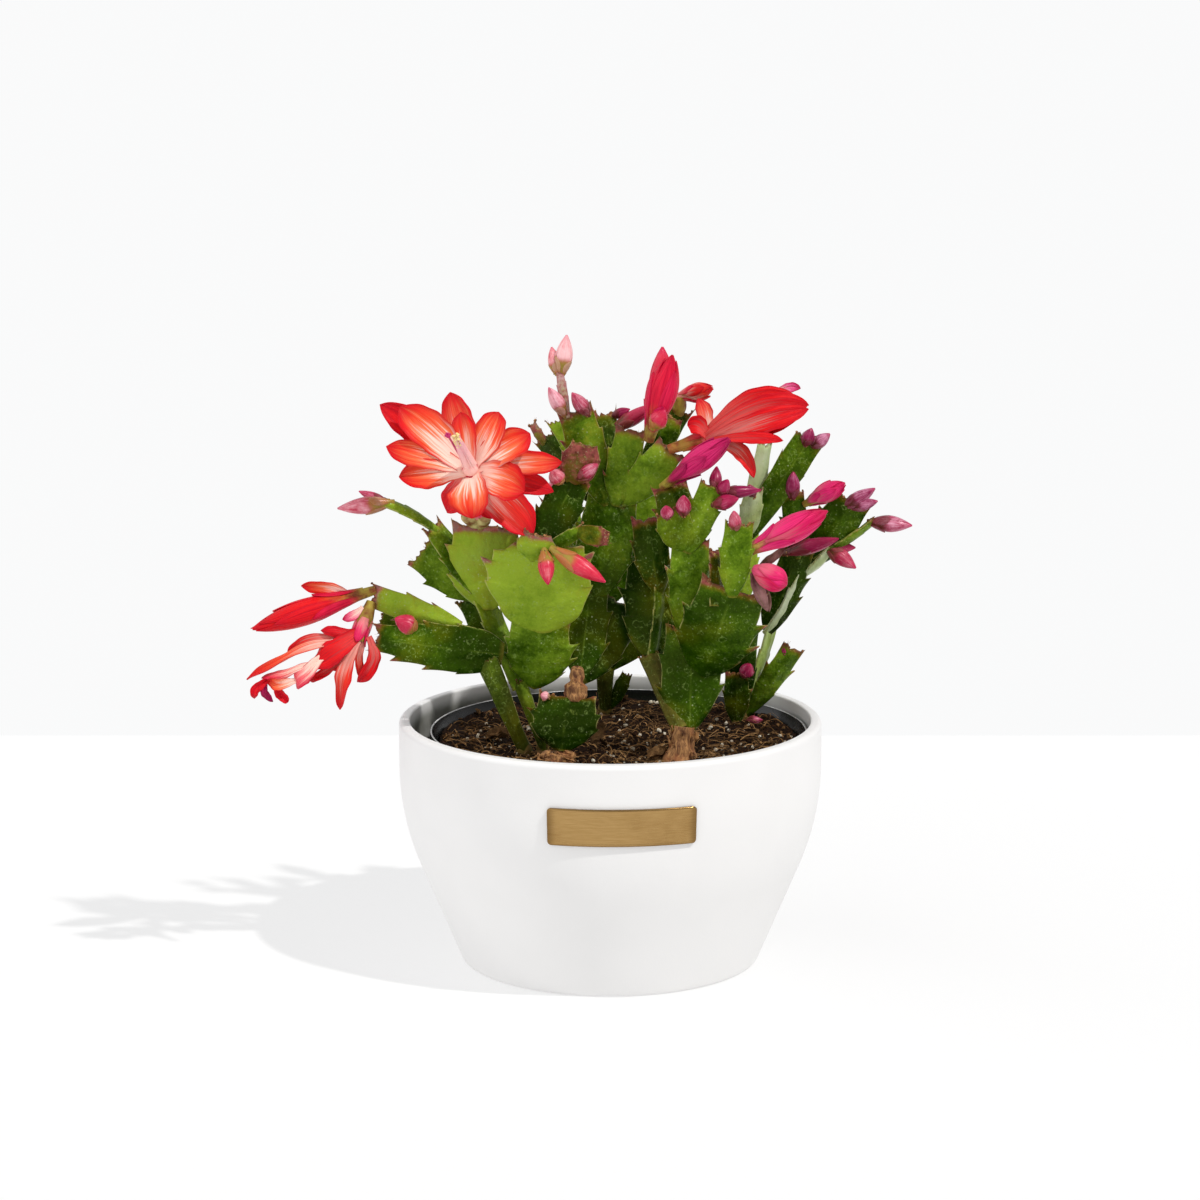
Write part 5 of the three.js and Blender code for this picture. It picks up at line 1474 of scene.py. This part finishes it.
# Suns: [elevation, turn from the right, energy, angle that it spans, colour]
SUNS = {
    "sun": [50.5, 36, 1.85, 1.6, (1.0, 0.985, 0.96)],
    "bounce": [22, 160, 1.25, 100, (1.0, 1.0, 1.0)],
}


def make_stage():
    look = Look("white_floor", Roughness=0.9)
    look.shader.inputs["Base Color"].default_value = (FLOOR_GREY, FLOOR_GREY, FLOOR_GREY, 1)
    look.shader.inputs["Emission Color"].default_value = (1.0, 0.998, 0.994, 1)
    look.shader.inputs["Emission Strength"].default_value = FLOOR_GLOW
    mesh = bpy.data.meshes.new("floor")
    left, right = -FLOOR_SIDE, FLOOR_SIDE
    corners = [(left, FLOOR_FRONT), (right, FLOOR_FRONT), (right, FLOOR_BACK), (left, FLOOR_BACK)]
    mesh.from_pydata([(x, y, -FLOOR_DROP) for x, y in corners], [], [(0, 1, 2, 3)])
    mesh.materials.append(look.material)
    add_object("floor", mesh)


def add_sun(name, elevation, from_right, energy, angle, colour):
    sun = bpy.data.lights.new(name, "SUN")
    sun.energy = energy
    sun.angle = radians(angle)
    sun.color = colour
    up, right = radians(elevation), radians(from_right)
    to_sun = Vector((cos(up) * cos(right), -cos(up) * sin(right), sin(up)))
    add_object(name, sun).rotation_euler = to_sun.to_track_quat("Z", "Y").to_euler()


# What the camera sees behind the floor, and the light from all sides
WALL = (0.955, 0.958, 0.96, 1)
FILL = (0.97, 0.98, 1.0, 1)
FILL_STRENGTH = 0.62


def make_light():
    scene = bpy.context.scene
    world = bpy.data.worlds.new("studio")
    scene.world = world
    world.use_nodes = True
    nodes, links = world.node_tree.nodes, world.node_tree.links
    seen = nodes["Background"]
    seen.inputs["Color"].default_value = WALL
    fill = nodes.new("ShaderNodeBackground")
    fill.inputs["Color"].default_value = FILL
    fill.inputs["Strength"].default_value = FILL_STRENGTH
    path = nodes.new("ShaderNodeLightPath")
    blend = nodes.new("ShaderNodeMixShader")
    links.new(path.outputs["Is Camera Ray"], blend.inputs[0])
    links.new(fill.outputs[0], blend.inputs[1])
    links.new(seen.outputs[0], blend.inputs[2])
    links.new(blend.outputs[0], nodes["World Output"].inputs["Surface"])
    for name, row in SUNS.items():
        add_sun(name, *row)
    scene.view_settings.view_transform = "Standard"


def make_camera():
    camera = bpy.data.cameras.new("camera")
    camera.lens = LENS_MM
    camera.sensor_width = SENSOR_MM
    view = add_object("camera", camera)
    view.location = (CAMERA_X * MM, -CAMERA_BACK * MM, CAMERA_HEIGHT * MM)
    view.rotation_euler = (radians(90 - CAMERA_PITCH), 0, 0)
    bpy.context.scene.camera = view


make_camera()
make_light()
make_stage()
make_planter()
make_plate()
make_nursery_pot()
make_soil()
make_soil_bits()
make_stocks()
make_stems()
make_blooms()
make_side_bloom()
make_blunt_bloom()
make_open_bloom()
make_wilted_bloom()
make_fallen_bud()
